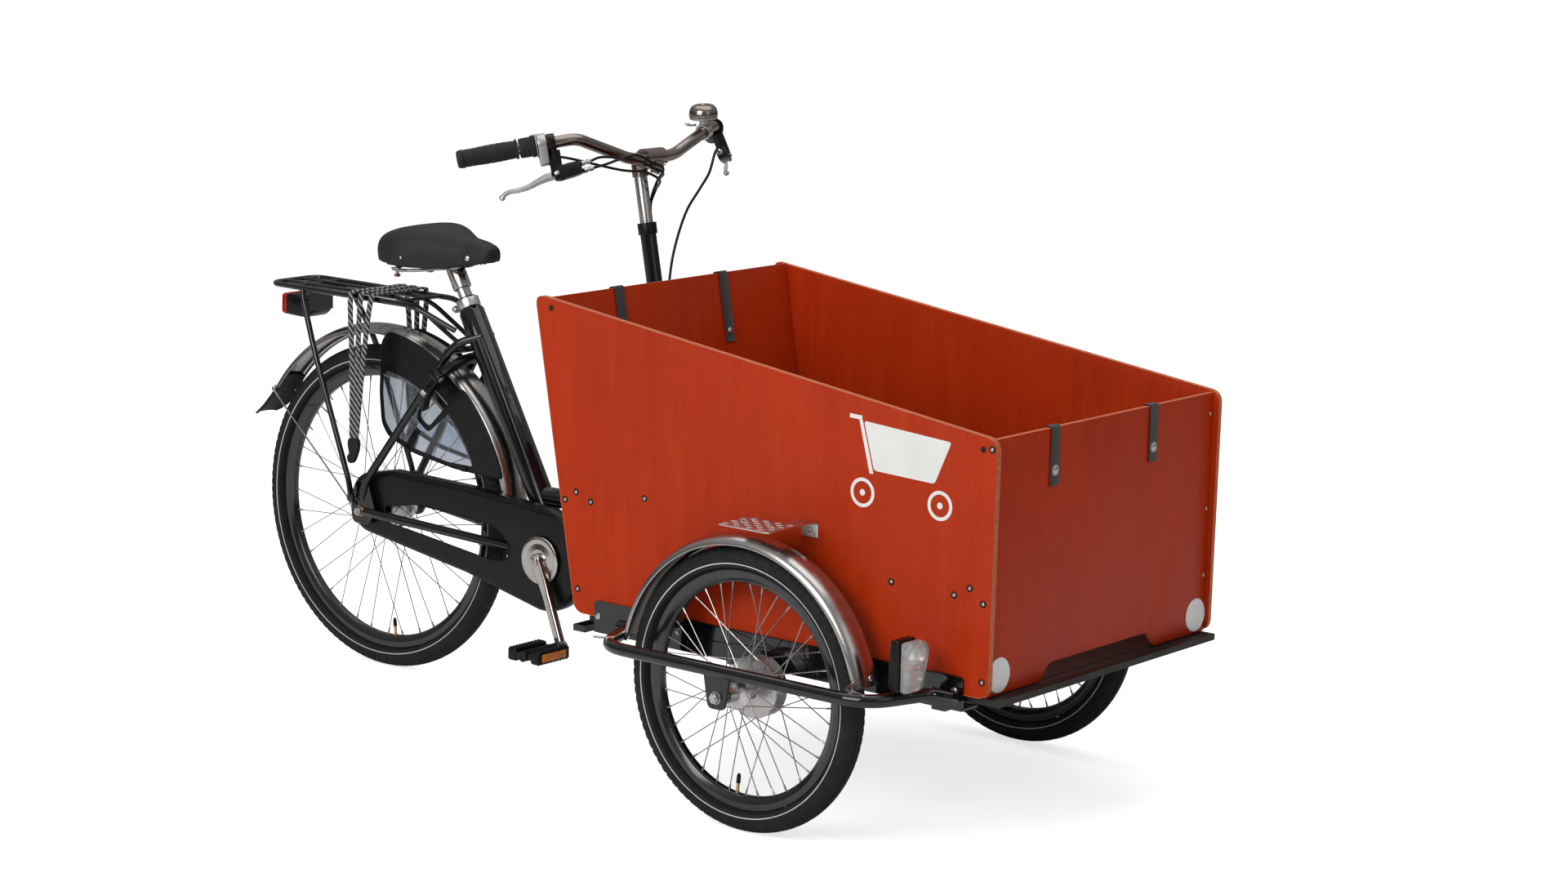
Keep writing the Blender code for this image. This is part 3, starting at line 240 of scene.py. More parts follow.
def woven(name, dark, light, pitch, share):
    """Cord or webbing: diagonal yarns that follow the strap, picked out in a second colour."""
    s = Surface(name)
    parts = s.node("SeparateXYZ", Vector=s.place).outputs
    run = s.maths(parts[2], s.maths(parts[1], None, "ABSOLUTE"), "SUBTRACT")
    bands = []
    for slope in (1.0, -1.0):
        lean = s.maths(run, s.maths(parts[0], slope, "MULTIPLY"))
        bands.append(s.maths(s.maths(lean, 2 * math.pi / pitch, "MULTIPLY"), None, "SINE"))
    both = s.maths(bands[0], bands[1], "MULTIPLY")
    fibre = s.noise(900.0, 2.0)
    cloth = s.mixed(s.between(bands[0], 0, 1, share, share + 0.2), dark, light)
    s.put("Base Color", s.mixed(s.between(fibre, 0.0, 0.5), cloth, shade(dark, 0.6)))
    s.put("Roughness", s.between(fibre, 0.72, 0.92))
    s.put("Sheen Weight", 0.25)
    s.bumps(s.maths(both, fibre), 0.8, 0.0005)
    return s.mat


def leather(name, colour):
    """Matt saddle skin: fine pebble grain with a soft worn sheen."""
    s = Surface(name)
    cells = s.node("TexVoronoi", Vector=s.place, Scale=420.0).outputs["Distance"]
    wear = s.noise(7.0, 4.0)
    s.put("Base Color", s.mixed(s.between(wear, 0, 1), shade(colour, 0.8), shade(colour, 1.35)))
    s.put("Roughness", s.between(wear, 0.46, 0.62))
    s.put("Specular IOR Level", 0.28)
    s.bumps(s.maths(cells, s.noise(60.0, 3.0)), 0.35, 0.0004)
    return s.mat


def clear(name, colour, rough, weight):
    """Transparent plastic with faint moulding waves."""
    s = Surface(name, Transmission_Weight=weight, IOR=1.46)
    wave = s.noise(30.0, 3.0)
    s.put("Base Color", s.mixed(s.between(wave, 0, 1), shade(colour, 0.92), colour))
    s.put("Roughness", s.between(wave, rough, rough + 0.06))
    s.bumps(wave, 0.15, 0.0006)
    return s.mat


LOOKS = {}
for make, rows in (
    (plain_finish, [
        ("frame_paint", (0.0045, 0.0045, 0.005), 0.1, dict(mottle=0.3, grain=160.0, depth=0.0001,
              strength=0.12, spread=0.03, Coat_Weight=0.6, Coat_Roughness=0.03, Specular_IOR_Level=0.3)),
        ("rim_alloy", (0.0045, 0.0045, 0.005), 0.22, dict(mottle=0.3, grain=260.0, depth=0.0001,
              strength=0.2, spread=0.05, Coat_Weight=0.6, Coat_Roughness=0.1)),
        ("tyre", (0.0125, 0.012, 0.0115), 0.7, dict(mottle=0.25, patch=30.0, grain=900.0, depth=0.0003,
              strength=0.5, spread=0.07, Specular_IOR_Level=0.25)),
        ("grip_rubber", (0.0125, 0.012, 0.0125), 0.58,
         dict(mottle=0.2, patch=40.0, grain=1100.0, depth=0.0003, strength=0.6, Specular_IOR_Level=0.25)),
        ("black_plastic", (0.0042, 0.004, 0.0038), 0.3,
         dict(mottle=0.2, grain=420.0, depth=0.00015, strength=0.3, Specular_IOR_Level=0.25)),
        ("floor_panel", (0.02, 0.017, 0.015), 0.42,
         dict(mottle=0.3, patch=8.0, grain=300.0, depth=0.0004, strength=0.6, Specular_IOR_Level=0.25)),
        ("reflective_line", (0.62, 0.62, 0.6), 0.35, 0.2, dict(grain=600.0)),
        ("white_plastic", (0.78, 0.78, 0.76), 0.35, dict(mottle=0.05, grain=200.0)),
        ("reflector_orange", (0.75, 0.2, 0.01), 0.18,
         dict(mottle=0.2, patch=60.0, grain=350.0, depth=0.0008, strength=0.8, Coat_Weight=0.8)),
    ]),
    (brushed, [
        ("steel", (0.5, 0.49, 0.48), 0.3, (1, 1, 1)),
        ("bright_alloy", (0.6, 0.59, 0.58), 0.3, (1, 0.15, 1)),
        ("chrome", (0.5, 0.475, 0.455), 0.18, (1, 1, 1), 0.04),
        ("stainless", (0.46, 0.44, 0.425), 0.24, (0.12, 1, 0.12)),
        ("dark_nickel", (0.27, 0.225, 0.2), 0.2, (1, 1, 0.2)),
        ("bearing_bronze", (0.66, 0.38, 0.2), 0.28, (1, 1, 1)),
        ("satin_alloy", (0.42, 0.4, 0.39), 0.34, (1, 0.3, 1)),
    ]),
    (plywood_face, [
        ("stained_plywood", (0.43, 0.029, 0.003)),
    ]),
    (plywood_edge, [
        ("ply_edge_side", 1),
        ("ply_edge_wall", 0),
    ]),
    (woven, [
        ("elastic_webbing", (0.01, 0.01, 0.01), (0.5, 0.48, 0.45), 0.0135, 0.42),
        ("nylon_strap", (0.012, 0.012, 0.013), (0.03, 0.03, 0.032), 0.0024, 0.0),
    ]),
    (leather, [
        ("saddle_leather", (0.0135, 0.0138, 0.0145)),
    ]),
    (clear, [
        ("smoky_plastic", (0.72, 0.78, 0.87), 0.04, 1.0),
        ("tail_lamp", (0.75, 0.012, 0.01), 0.08, 0.35),
        ("clear_lens", (0.93, 0.93, 0.92), 0.04, 0.75),
    ]),
):
    for name, *values in rows:
        options = values.pop() if isinstance(values[-1], dict) else {}
        LOOKS[name] = make(name, *values, **options)


# ---------------------------------------------------------------- shape helpers
def blank_copy(bm):
    """A temporary object that holds the mesh; the bmesh is used up."""
    bmesh.ops.recalc_face_normals(bm, faces=bm.faces[:])
    mesh = bpy.data.meshes.new("operand")
    bm.to_mesh(mesh)
    bm.free()
    obj = bpy.data.objects.new("operand", mesh)
    bpy.context.scene.collection.objects.link(obj)
    return obj


def evaluated(obj):
    graph = bpy.context.evaluated_depsgraph_get()
    graph.update()
    result = bmesh.new()
    result.from_object(obj, graph)
    return result


def drop(objects):
    for obj in objects:
        mesh = obj.data
        bpy.data.objects.remove(obj)
        bpy.data.meshes.remove(mesh)


def combine(operation, base, others):
    objects = [blank_copy(bm) for bm in [base, *others]]
    for other in objects[1:]:
        modifier = objects[0].modifiers.new("combine", "BOOLEAN")
        modifier.operation = operation
        modifier.solver = "EXACT"
        modifier.object = other
    result = evaluated(objects[0])
    drop(objects)
    bmesh.ops.remove_doubles(result, verts=result.verts[:], dist=1e-6)
    return result


def fuse(*meshes):
    return combine("UNION", meshes[0], meshes[1:])


def carve(base, *cutters):
    return combine("DIFFERENCE", base, cutters)


def gather(meshes):
    """Separate bodies in one mesh."""
    result = bmesh.new()
    for bm in meshes:
        bmesh.ops.recalc_face_normals(bm, faces=bm.faces[:])
        mesh = bpy.data.meshes.new("part")
        bm.to_mesh(mesh)
        bm.free()
        result.from_mesh(mesh)
        bpy.data.meshes.remove(mesh)
    return result


def piece(name, bm, body, looks, replaces=(), bevel=0.0, angle=32, second=None):
    """Make the named piece from one body or a list. `second` picks the faces that take the second look."""
    bm = gather(bm) if isinstance(bm, list) else bm
    looks = [looks] if isinstance(looks, str) else looks
    bmesh.ops.recalc_face_normals(bm, faces=bm.faces[:])
    bm.normal_update()
    if second:
        for face in bm.faces:
            face.material_index = 1 if second(face) else 0
    mesh = bpy.data.meshes.new(name)
    bm.to_mesh(mesh)
    bm.free()
    mesh.shade_smooth()
    mesh.set_sharp_from_angle(angle=math.radians(angle))
    for look in looks:
        mesh.materials.append(LOOKS[look])
    obj = bpy.data.objects.new(name, mesh)
    bpy.context.scene.collection.objects.link(obj)
    if bevel:
        soften = obj.modifiers.new("soften", "BEVEL")
        soften.width = bevel
        soften.segments = 2
        soften.limit_method = "ANGLE"
        soften.angle_limit = math.radians(40)
        soften.use_clamp_overlap = True
    if body:
        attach(obj, body)
    if replaces:
        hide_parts(*replaces)
    return obj


def remake(node, bm, body, looks, **options):
    """Make the piece that is seen instead of this CAD node."""
    return piece(f"{node}_look", bm, body, looks, [node], **options)


def basis(direction):
    direction = Vector(direction).normalized()
    helper = Y if abs(direction.dot(Y)) < 0.9 else Z
    first = direction.cross(helper).normalized()
    return first, direction.cross(first).normalized()


def bridge(bm, loops, closed):
    """Skin a row of equal vertex loops; an open row gets flat ends."""
    count = len(loops[0])
    rows = len(loops) if closed else len(loops) - 1
    for i in range(rows):
        one, two = loops[i], loops[(i + 1) % len(loops)]
        for j in range(count):
            bm.faces.new((one[j], one[(j + 1) % count], two[(j + 1) % count], two[j]))
    if not closed:
        bm.faces.new(loops[0][::-1])
        bm.faces.new(loops[-1])
    return bm


def skinned(rings, closed=False):
    bm = bmesh.new()
    return bridge(bm, [[bm.verts.new(p) for p in ring] for ring in rings], closed)


def bend(before, corner, after, radius, steps):
    """The points of a smooth bend that stands in for a corner."""
    back, ahead = before - corner, after - corner
    reach = min(radius, back.length * SOFT_BEND, ahead.length * SOFT_BEND)
    start, end = corner + back.normalized() * reach, corner + ahead.normalized() * reach
    shares = [k / steps for k in range(steps + 1)]
    return [start * (1 - t) ** 2 + corner * 2 * t * (1 - t) + end * t ** 2 for t in shares]


def rounded(points, radius, steps=8):
    """A polyline with each inner corner replaced by a smooth bend."""
    points = [Vector(p) for p in points]
    path = [points[0]]
    for before, corner, after in zip(points, points[1:], points[2:]):
        path += bend(before, corner, after, radius, steps)
    return path + [points[-1]]


def flowing(points, steps=8):
    """A smooth curve through every point, in any number of dimensions."""
    points = [Vector(p) for p in points]
    padded = [points[0] * 2 - points[1], *points, points[-1] * 2 - points[-2]]
    path = []
    for a, b, c, d in zip(padded, padded[1:], padded[2:], padded[3:]):
        for k in range(steps):
            t = k / steps
            path.append(0.5 * (2 * b + (c - a) * t + (2 * a - 5 * b + 4 * c - d) * t ** 2
                               + (3 * b - a - 3 * c + d) * t ** 3))
    return path + [points[-1]]


def swept(path, section, closed=False):
    """Sweep a section along a path. section(share) gives (u, v) points in the moving frame."""
    count = len(path)
    u, _ = basis(path[1] - path[0])
    rings = []
    for i, point in enumerate(path):
        into = point - path[i - 1] if i or closed else path[1] - path[0]
        out = path[(i + 1) % count] - point if i < count - 1 or closed else into
        along = (into.normalized() + out.normalized()).normalized()
        u = (u - along * u.dot(along)).normalized()
        v = along.cross(u).normalized()
        rings.append([point + u * a + v * b for a, b in section(i / max(1, count - 1))])
    return skinned(rings, closed)


def circle(radius, sides, squash=1.0):
    return [(radius * math.cos(2 * math.pi * k / sides), squash * radius * math.sin(2 * math.pi * k / sides))
            for k in range(sides)]


def tube(points, radius, sides=20, bend=0.0, steps=8):
    path = rounded(points, bend, steps) if bend else [Vector(p) for p in points]
    ends = radius if isinstance(radius, tuple) else (radius, radius)
    return swept(path, lambda t: circle(ends[0] + (ends[1] - ends[0]) * t, sides))


def cord(points, radius, sides=10, steps=8):
    return swept(flowing(points, steps), lambda t: circle(radius, sides))


def rod(start, end, radius, sides=28):
    return tube([start, end], radius, sides)


def turned(profile, origin, axis, sides=48):
    """Spin (radius, distance along the axis) points about the axis."""
    origin, axis = Vector(origin), Vector(axis).normalized()
    u, v = basis(axis)
    rings = []
    for i in range(sides):
        a = 2 * math.pi * i / sides
        out = u * math.cos(a) + v * math.sin(a)
        rings.append([origin + axis * d + out * r for r, d in profile])
    return skinned(rings, True)


def lathe(profile, origin, axis, sides=48, soft=0.0):
    """A turned ring whose profile corners are rounded by `soft`."""
    if soft:
        profile = smooth_outline(profile, soft, 3)
    return turned(profile, origin, axis, sides)


def corners(u0, v0, u1, v1):
    """A rectangle's outline."""
    return [(u0, v0), (u1, v0), (u1, v1), (u0, v1)]


def span(side, near, far):
    """Two distances from the middle as a low and a high Y on this side."""
    return sorted((side * near, side * far))


def arc_points(u, v, reach_u, reach_v, degrees):
    """Points on an ellipse about (u, v), at these angles."""
    return [(u + reach_u * math.cos(math.radians(d)), v + reach_v * math.sin(math.radians(d)))
            for d in degrees]


def tangents(path):
    """Each point of a path with its direction there."""
    last = len(path) - 1
    return [(point, (path[min(i + 1, last)] - path[max(i - 1, 0)]).normalized())
            for i, point in enumerate(path)]


def ring(inner, outer, low, high, origin, axis, sides=48, soft=0.0006):
    return lathe(corners(inner, low, outer, high), origin, axis, sides, soft)


def button(radius, height, origin, axis, sides=24):
    """A domed head, such as a screw's or a rivet's."""
    dome = arc_points(0, 0.35 * height, radius, 0.65 * height, (0, 25, 50, 72))
    return turned([(0.0001, -0.0005), (radius, -0.0005), *dome, (0.0001, height)], origin, axis, sides)


def hex_nut(across, low, high, origin, axis, bore=0.002):
    radius = across / math.sqrt(3)
    profile = [(bore, low), (radius * 0.92, low), (radius, low + 0.0007), (radius, high - 0.0007),
               (radius * 0.92, high), (bore, high)]
    return turned(profile, origin, axis, 6)


def prism(outline, low, high, place):
    return skinned([[place(u, v, d) for u, v in outline] for d in (low, high)])


def side_plate(outline, low, high):
    return prism(outline, low, high, xz)


def block(low, high):
    return prism(corners(*low[:2], *high[:2]), low[2], high[2], xy)


def smooth_outline(points, radius, steps=6):
    """A closed 2-D outline with rounded corners."""
    points = [Vector(p) for p in points]
    outline = []
    for before, corner, after in zip(points[-1:] + points, points, points[1:] + points[:1]):
        outline += [tuple(p) for p in bend(before, corner, after, radius, steps)]
    return outline


def shrunk(outline, amount):
    """A closed outline moved inwards by the same amount everywhere."""
    count = len(outline)
    area = sum(outline[i - 1][0] * outline[i][1] - outline[i][0] * outline[i - 1][1] for i in range(count))
    turn = 1 if area > 0 else -1
    result = []
    for i in range(count):
        point = Vector(outline[i])
        one = (point - Vector(outline[i - 1])).normalized()
        two = (Vector(outline[(i + 1) % count]) - point).normalized()
        normal = Vector((-(one.y + two.y), one.x + two.x)).normalized() * turn
        square = Vector((-one.y, one.x)) * turn
        result.append(tuple(point + normal * amount / max(0.5, normal.dot(square))))
    return result


def cushioned(outline, low, high, soft, place):
    """A plate whose edges are rounded over by `soft` on both sides."""
    over = [(soft * (1 - math.sin(a)), high - soft * (1 - math.cos(a))) for a in
            [math.radians(d) for d in (0, 30, 60, 90)]]
    under = [(inset, low + high - depth) for inset, depth in over]
    rings = []
    for inset, depth in under + over[::-1]:
        shape = shrunk(outline, inset) if inset > 1e-6 else outline
        rings.append([place(u, v, depth) for u, v in shape])
    return skinned(rings)


def xy(u, v, d):
    return Vector((u, v, d))


def xz(u, v, d):
    return Vector((u, d, v))


def yz(u, v, d):
    return Vector((d, u, v))


def outward(angle):
    """A direction in the wheels' plane."""
    return Vector((math.cos(angle), 0, math.sin(angle)))


def on_circle(centre, radius, angle, y=0.0):
    return Vector((centre.x + radius * math.cos(angle), centre.y + y, centre.z + radius * math.sin(angle)))


# ---------------------------------------------------------------- wheels
def tread_cut(step, degrees):
    """How deep the tread is cut at this step round the wheel and angle across it."""
    lean = abs(degrees)
    zigzag = 17 + 4 * abs((step % 8) - 4) / 4
    if abs(lean - zigzag) < 2.2:
        return 0.0016
    shifted = step + (2 if degrees > 0 else 0)
    if 24 < lean < 60 and shifted % 4 == 0:
        return 0.0017
    if lean < 14 and step % 8 == 0:
        return 0.001
    if 36 < lean < 40:
        return 0.0007
    return 0.0


def tyre(centre, radius, steps):
    middle, bead = radius - TYRE_HALF, radius - TYRE_DEPTH
    wall = [118, 111, 104.0, 99.5, 92, 84, 76, 70, 65, 62]
    tread = [60 - 2.5 * k for k in range(49)]
    angles = wall + tread + [-a for a in wall[::-1]]
    rings = []
    for i in range(steps):
        a = 2 * math.pi * i / steps
        out = outward(a)
        line = [(bead, 0.0112)]
        for degrees in angles:
            phi = math.radians(degrees)
            cut = tread_cut(i, degrees) if abs(degrees) < 61 else 0.0
            edge = 0.0006 if 61 < abs(degrees) < 71 and i % 4 < 2 else 0.0
            r = TYRE_HALF - cut - edge
            line.append((middle + r * math.cos(phi), r * math.sin(phi)))
        line.append((bead, -0.0112))
        rings.append([centre + out * r + Y * y for r, y in line])
    return skinned(rings, True)


def on_line(centre, radius):
    """Picks the printed reflective line, a narrow ring low on both walls."""
    middle = radius - TYRE_HALF
    low, high = (middle + TYRE_HALF * math.cos(math.radians(d)) for d in (103.9, 99.6))

    def chosen(face):
        spot = face.calc_center_median() - centre
        return low - 2e-4 < math.hypot(spot.x, spot.z) < high + 2e-4 and abs(spot.y) > 0.02
    return chosen


def rim(centre, radius):
    outer = radius - TYRE_DEPTH - GAP
    inner = outer - RIM_DEPTH
    profile = [(inner, -0.0045), (inner + 0.0035, -0.0088), (inner + 0.0105, -0.0118),
               (inner + 0.0125, -0.0126), (outer, -0.0128), (outer, 0.0128), (inner + 0.0125, 0.0126),
               (inner + 0.0105, 0.0118), (inner + 0.0035, 0.0088), (inner, 0.0045)]
    return lathe(profile, centre, Y, 144, 0.0012)


def lacing(centre, rim_inner, flanges, wind):
    """Thirty-six crossed spokes with their nipples and heads."""
    parts = []
    for k in range(SPOKES):
        side = 1 if k % 2 else -1
        sweep = wind if (k // 2) % 2 else -wind
        radius, y = flanges[side]
        at_rim = math.radians(360 / SPOKES * k)
        head = on_circle(centre, radius, at_rim + sweep, y + side * (0.0012 if sweep > 0 else -0.0012))
        tip = on_circle(centre, rim_inner + 0.001, at_rim, side * 0.0022)
        pull = (head - tip).normalized()
        parts.append(rod(head, tip, 0.001, 7))
        parts.append(turned([(0.0001, -0.002), (0.0019, -0.002), (0.0019, 0.007), (0.0013, 0.0125),
                (0.0001, 0.0125)], tip, pull, 8))
        parts.append(button(0.0022, 0.0014, head, Y * side, 8))
    return gather(parts)


def valve(centre, rim_inner, degrees):
    a = math.radians(degrees)
    inwards = Vector((-math.cos(a), 0, -math.sin(a)))
    foot = on_circle(centre, rim_inner + 0.002, a)
    stem = [(0.0001, 0), (0.0045, 0), (0.0045, 0.003), (0.0028, 0.0035), (0.0028, 0.02), (0.0001, 0.02)]
    cap = [(0.0001, 0.019), (0.0036, 0.019), (0.004, 0.021), (0.0034, 0.033), (0.002, 0.036), (0.0001, 0.036)]
    return turned(stem, foot, inwards, 16), turned(cap, foot, inwards, 16)


def wheel(label, centre, radius, steps, body, hub, flanges, wind, valve_at):
    rim_inner = radius - TYRE_DEPTH - GAP - RIM_DEPTH
    prefix, _, side = label.partition("_")
    tail = "_" + side if side else ""
    remake(f"{prefix}_tyre{tail}", tyre(centre, radius, steps), body, ["tyre", "reflective_line"], angle=28,
           second=on_line(centre, radius))
    remake(f"{prefix}_rim{tail}", rim(centre, radius), body, "rim_alloy")
    remake(f"{prefix}_hub{tail}", hub, body, "bright_alloy")
    piece(f"{prefix}_spokes{tail}", lacing(centre, rim_inner, flanges, wind), body, "stainless")
    stem, cap = valve(centre, rim_inner, valve_at)
    piece(f"{prefix}_valve_stem{tail}", stem, body, "bearing_bronze")
    piece(f"{prefix}_valve_cap{tail}", cap, body, "black_plastic")


def rear_hub():
    profile = [(0.006, -0.064), (0.0135, -0.064), (0.014, -0.037), (0.026, -0.035), (0.0425, -0.032),
               (0.044, -0.03), (0.0425, -0.028), (0.037, -0.0255), (0.0345, -0.02), (0.0345, 0.018),
               (0.037, 0.0235), (0.0425, 0.0262), (0.044, 0.0282), (0.0425, 0.0302), (0.0345, 0.033),
               (0.0345, 0.05), (0.03, 0.054), (0.016, 0.056), (0.016, 0.064), (0.006, 0.064)]
    return lathe(profile, REAR_AXLE, Y, 64, 0.0008)


def front_hub(centre, side):
    """A drum-brake hub: a finned drum on the inner side and a small flange on the outer one."""
    profile = [(0.007, -0.05), (0.046, -0.05), (0.05, -0.048), (0.053, -0.044)]
    for k in range(5):
        y = -0.042 + 0.0048 * k
        profile += [(0.053, y), (0.053, y + 0.0022), (0.0505, y + 0.0028), (0.0505, y + 0.004)]
    profile += [(0.054, -0.0168), (0.054, -0.014), (0.044, -0.012), (0.03, -0.0105), (0.019, -0.007),
                (0.016, 0.0), (0.016, 0.0225), (0.019, 0.025), (0.029, 0.0262), (0.0305, 0.028),
                (0.029, 0.0298), (0.018, 0.032), (0.0145, 0.035), (0.014, 0.058), (0.007, 0.058)]
    if side < 0:
        profile = [(r, -d) for r, d in profile[::-1]]
    parts = [turned(profile, centre, Y, 64)]
    for k in range(9):
        spot = on_circle(centre, 0.037, math.radians(40 * k), -side * 0.0508)
        parts.append(button(0.0028, 0.0016, spot, Y * -side, 10))
    return gather(parts)


def wheels():
    flanges = {-1: (0.0405, -0.03), 1: (0.0405, 0.0282)}
    wheel("rear", REAR_AXLE, REAR_AXLE.z, 480, "rear_wheel", rear_hub(), flanges, math.radians(58), -85)
    for side, name in SIDES:
        centre = Vector((FRONT_AXLE_X, side * FRONT_AXLE_Y, FRONT_R))
        flanges = {side: (0.0275, side * 0.028), -side: (0.0515, -side * 0.0154)}
        wheel(f"front_{name}", centre, FRONT_R, 368, f"front_wheel_{name}", front_hub(centre, side),
              flanges, math.radians(52), -95)


def axles():
    parts = [rod(REAR_AXLE - Y * 0.09, REAR_AXLE + Y * 0.09, 0.0046, 20)]
    washers = []
    for side in (-1, 1):
        parts.append(hex_nut(0.0155, 0.0785, 0.0862, REAR_AXLE, Y * side, 0.004))
        washers.append(ring(0.0048, 0.0105, 0.0766, 0.0784, REAR_AXLE, Y * side, 32, 0.0003))
    remake("rear_axle", parts, "rear_frame", "steel")
    piece("rear_axle_washers", washers, "rear_frame", "bearing_bronze")
    for side, name in SIDES:
        spot = Vector((FRONT_AXLE_X, 0, FRONT_R))
        parts = [rod(spot + Y * side * 0.33, spot + Y * side * 0.497, 0.0058, 20),
                 hex_nut(0.0175, 0.4878, 0.4946, spot, Y * side, 0.005),
                 hex_nut(0.0175, 0.3345, 0.3405, spot, Y * side, 0.005),
                 ring(0.006, 0.0112, 0.4872, 0.488, spot, Y * side, 32, 0.0002)]
        remake(f"front_axle_{name}", parts, "front_platform", "steel")


# ---------------------------------------------------------------- rear frame
def seat_point(distance):
    return BB + SEAT_DIR * distance


def main_frame():
    pieces = [rod(BB - Y * 0.034, BB + Y * 0.034, 0.0215, 40),
            lathe([(0.0005, 0.004), (0.025, 0.004), (0.025, SEAT_LENGTH - 0.024),
            (0.0205, SEAT_LENGTH - 0.016), (0.0172, SEAT_LENGTH - 0.012), (0.0172, SEAT_LENGTH + 0.006),
            (0.0005, SEAT_LENGTH + 0.006)], BB, SEAT_DIR, 48),
            rod((KING_X, 0, HEAD_Z[0]), (KING_X, 0, HEAD_Z[1]), 0.0265, 40),
            tube([(0.418, 0, 0.405), (KING_X, 0, 0.4085)], 0.019, 32),
            rod(BB, (KING_X, 0, 0.268), 0.017, 32), side_plate([(0.452, 0.372), (0.475, 0.33), (0.56, 0.3),
            (0.575, 0.392)], -0.003, 0.003)]
    for z in HEAD_Z:
        inwards = 0.006 if z == HEAD_Z[0] else -0.006
        pieces.append(rod((KING_X, 0, z), (KING_X, 0, z + inwards), 0.0284, 40))
    for side in (-1, 1):
        pieces.append(tube([(0.462, side * 0.029, 0.2985), (0.4, side * 0.034, 0.3005),
                            (0.055, side * 0.0758, 0.324), (0.012, side * 0.0742, 0.3255)], 0.009, 20, 0.04))
        pieces.append(tube([(0.268, side * 0.012, 0.699), (0.224, side * 0.042, 0.683),
                            (0.014, side * 0.0765, 0.385), (0.003, side * 0.0742, 0.35)], 0.008, 20, 0.05))
        outline = smooth_outline([(-0.03, 0.35), (-0.022, 0.3), (0.022, 0.298), (0.04, 0.33), (0.018, 0.392),
                (-0.014, 0.38)], 0.012, 5)
        low, high = span(side, 0.0705, 0.076)
        pieces.append(side_plate(outline, low, high))
    pieces.append(rod((0.396, -0.034, 0.3008), (0.396, 0.034, 0.3008), 0.0065, 16))
    pieces.append(rod((0.205, -0.047, 0.664), (0.205, 0.047, 0.664), 0.0065, 16))
    frame_mesh = carve(fuse(*pieces), rod(REAR_AXLE - Y * 0.1, REAR_AXLE + Y * 0.1, 0.0052, 24),
                       rod(seat_point(0.35), seat_point(SEAT_LENGTH + 0.02), 0.0137, 32))
    remake("main_frame", frame_mesh, "rear_frame", "frame_paint", bevel=0.0012)
    clamp_low = SEAT_LENGTH - 0.016
    collar = ring(0.0176, 0.0225, clamp_low, clamp_low + 0.019, BB, SEAT_DIR, 48, 0.002)
    back = SEAT_DIR.cross(Y).normalized()
    back = back if back.x < 0 else -back
    lug = seat_point(clamp_low + 0.0095) + back * 0.0265
    ears = [rod(lug - Y * 0.0115, lug - Y * 0.0025, 0.0075, 24),
            rod(lug + Y * 0.0025, lug + Y * 0.0115, 0.0075, 24),
            rod(lug - Y * 0.015, lug + Y * 0.015, 0.0034, 16), button(0.0052, 0.0035, lug - Y * 0.015, -Y),
            hex_nut(0.01, 0.0115, 0.016, lug, Y)]
    remake("seat_clamp", [collar, *ears], "rear_frame", "bright_alloy")
    cups = [lathe([(0.01, 0.0345), (0.0212, 0.0345), (0.0212, 0.0375), (0.017, 0.0395), (0.01, 0.0395)],
                  BB, Y * side, 40, 0.0008) for side in (-1, 1)]
    piece("bottom_bracket_cups", cups, "rear_frame", "steel")


def chain_case_outline():
    front = arc_points(BB.x, BB.z, 0.101, 0.101, range(96, -99, -8))
    rear = arc_points(0.008, 0.34, 0.054, 0.061, range(-98, -269, -10))
    return front + [(0.374, 0.2155), (0.274, 0.238)] + rear + [(0.07, 0.414), (0.273, 0.41), (0.4, 0.402)]


def bulged(outline, inner_y, outer_y):
    """A moulded cover: its outer face curves away to the rim all round."""
    rings = [[xz(u, v, inner_y) for u, v in outline]]
    rim_y, drop = outer_y + 0.011, 0.011
    for degrees in range(0, 91, 15):
        a = math.radians(degrees)
        inset = 0.012 * (1 - math.cos(a))
        shape = shrunk(outline, inset) if inset > 1e-6 else outline
        rings.append([xz(u, v, rim_y - drop * math.sin(a)) for u, v in shape])
    return skinned(rings)


def chain_case():
    outline = chain_case_outline()
    outer = bulged(outline, -0.0355, -0.062)
    slot = smooth_outline([(0.05, 0.34), (0.055, 0.31), (0.14, 0.301), (0.345, 0.276), (0.386, 0.28),
            (0.391, 0.318), (0.345, 0.346), (0.14, 0.356)], 0.012, 6)
    hollow = side_plate(shrunk(outline, 0.0125), -0.059, -0.02)
    holes = [rod(BB - Y * 0.08, BB - Y * 0.05, 0.04, 48),
             rod(REAR_AXLE - Y * 0.08, REAR_AXLE - Y * 0.05, 0.016, 32)]
    case = carve(outer, hollow, side_plate(slot, -0.08, -0.05), *holes)
    rib = prism_ring(slot, 0.0016, -0.0634, -0.06)
    remake("chain_case", [case, rib], "rear_frame", "black_plastic", bevel=0.0007)


def prism_ring(outline, wide, low, high):
    """A raised lip that follows a closed outline."""
    grown, tight = shrunk(outline, -wide), shrunk(outline, wide * 0.2)
    rings = []
    for a, b in zip(grown, tight):
        rings.append([xz(*a, high), xz(*a, low), xz(*b, low), xz(*b, high)])
    return skinned(rings, True)


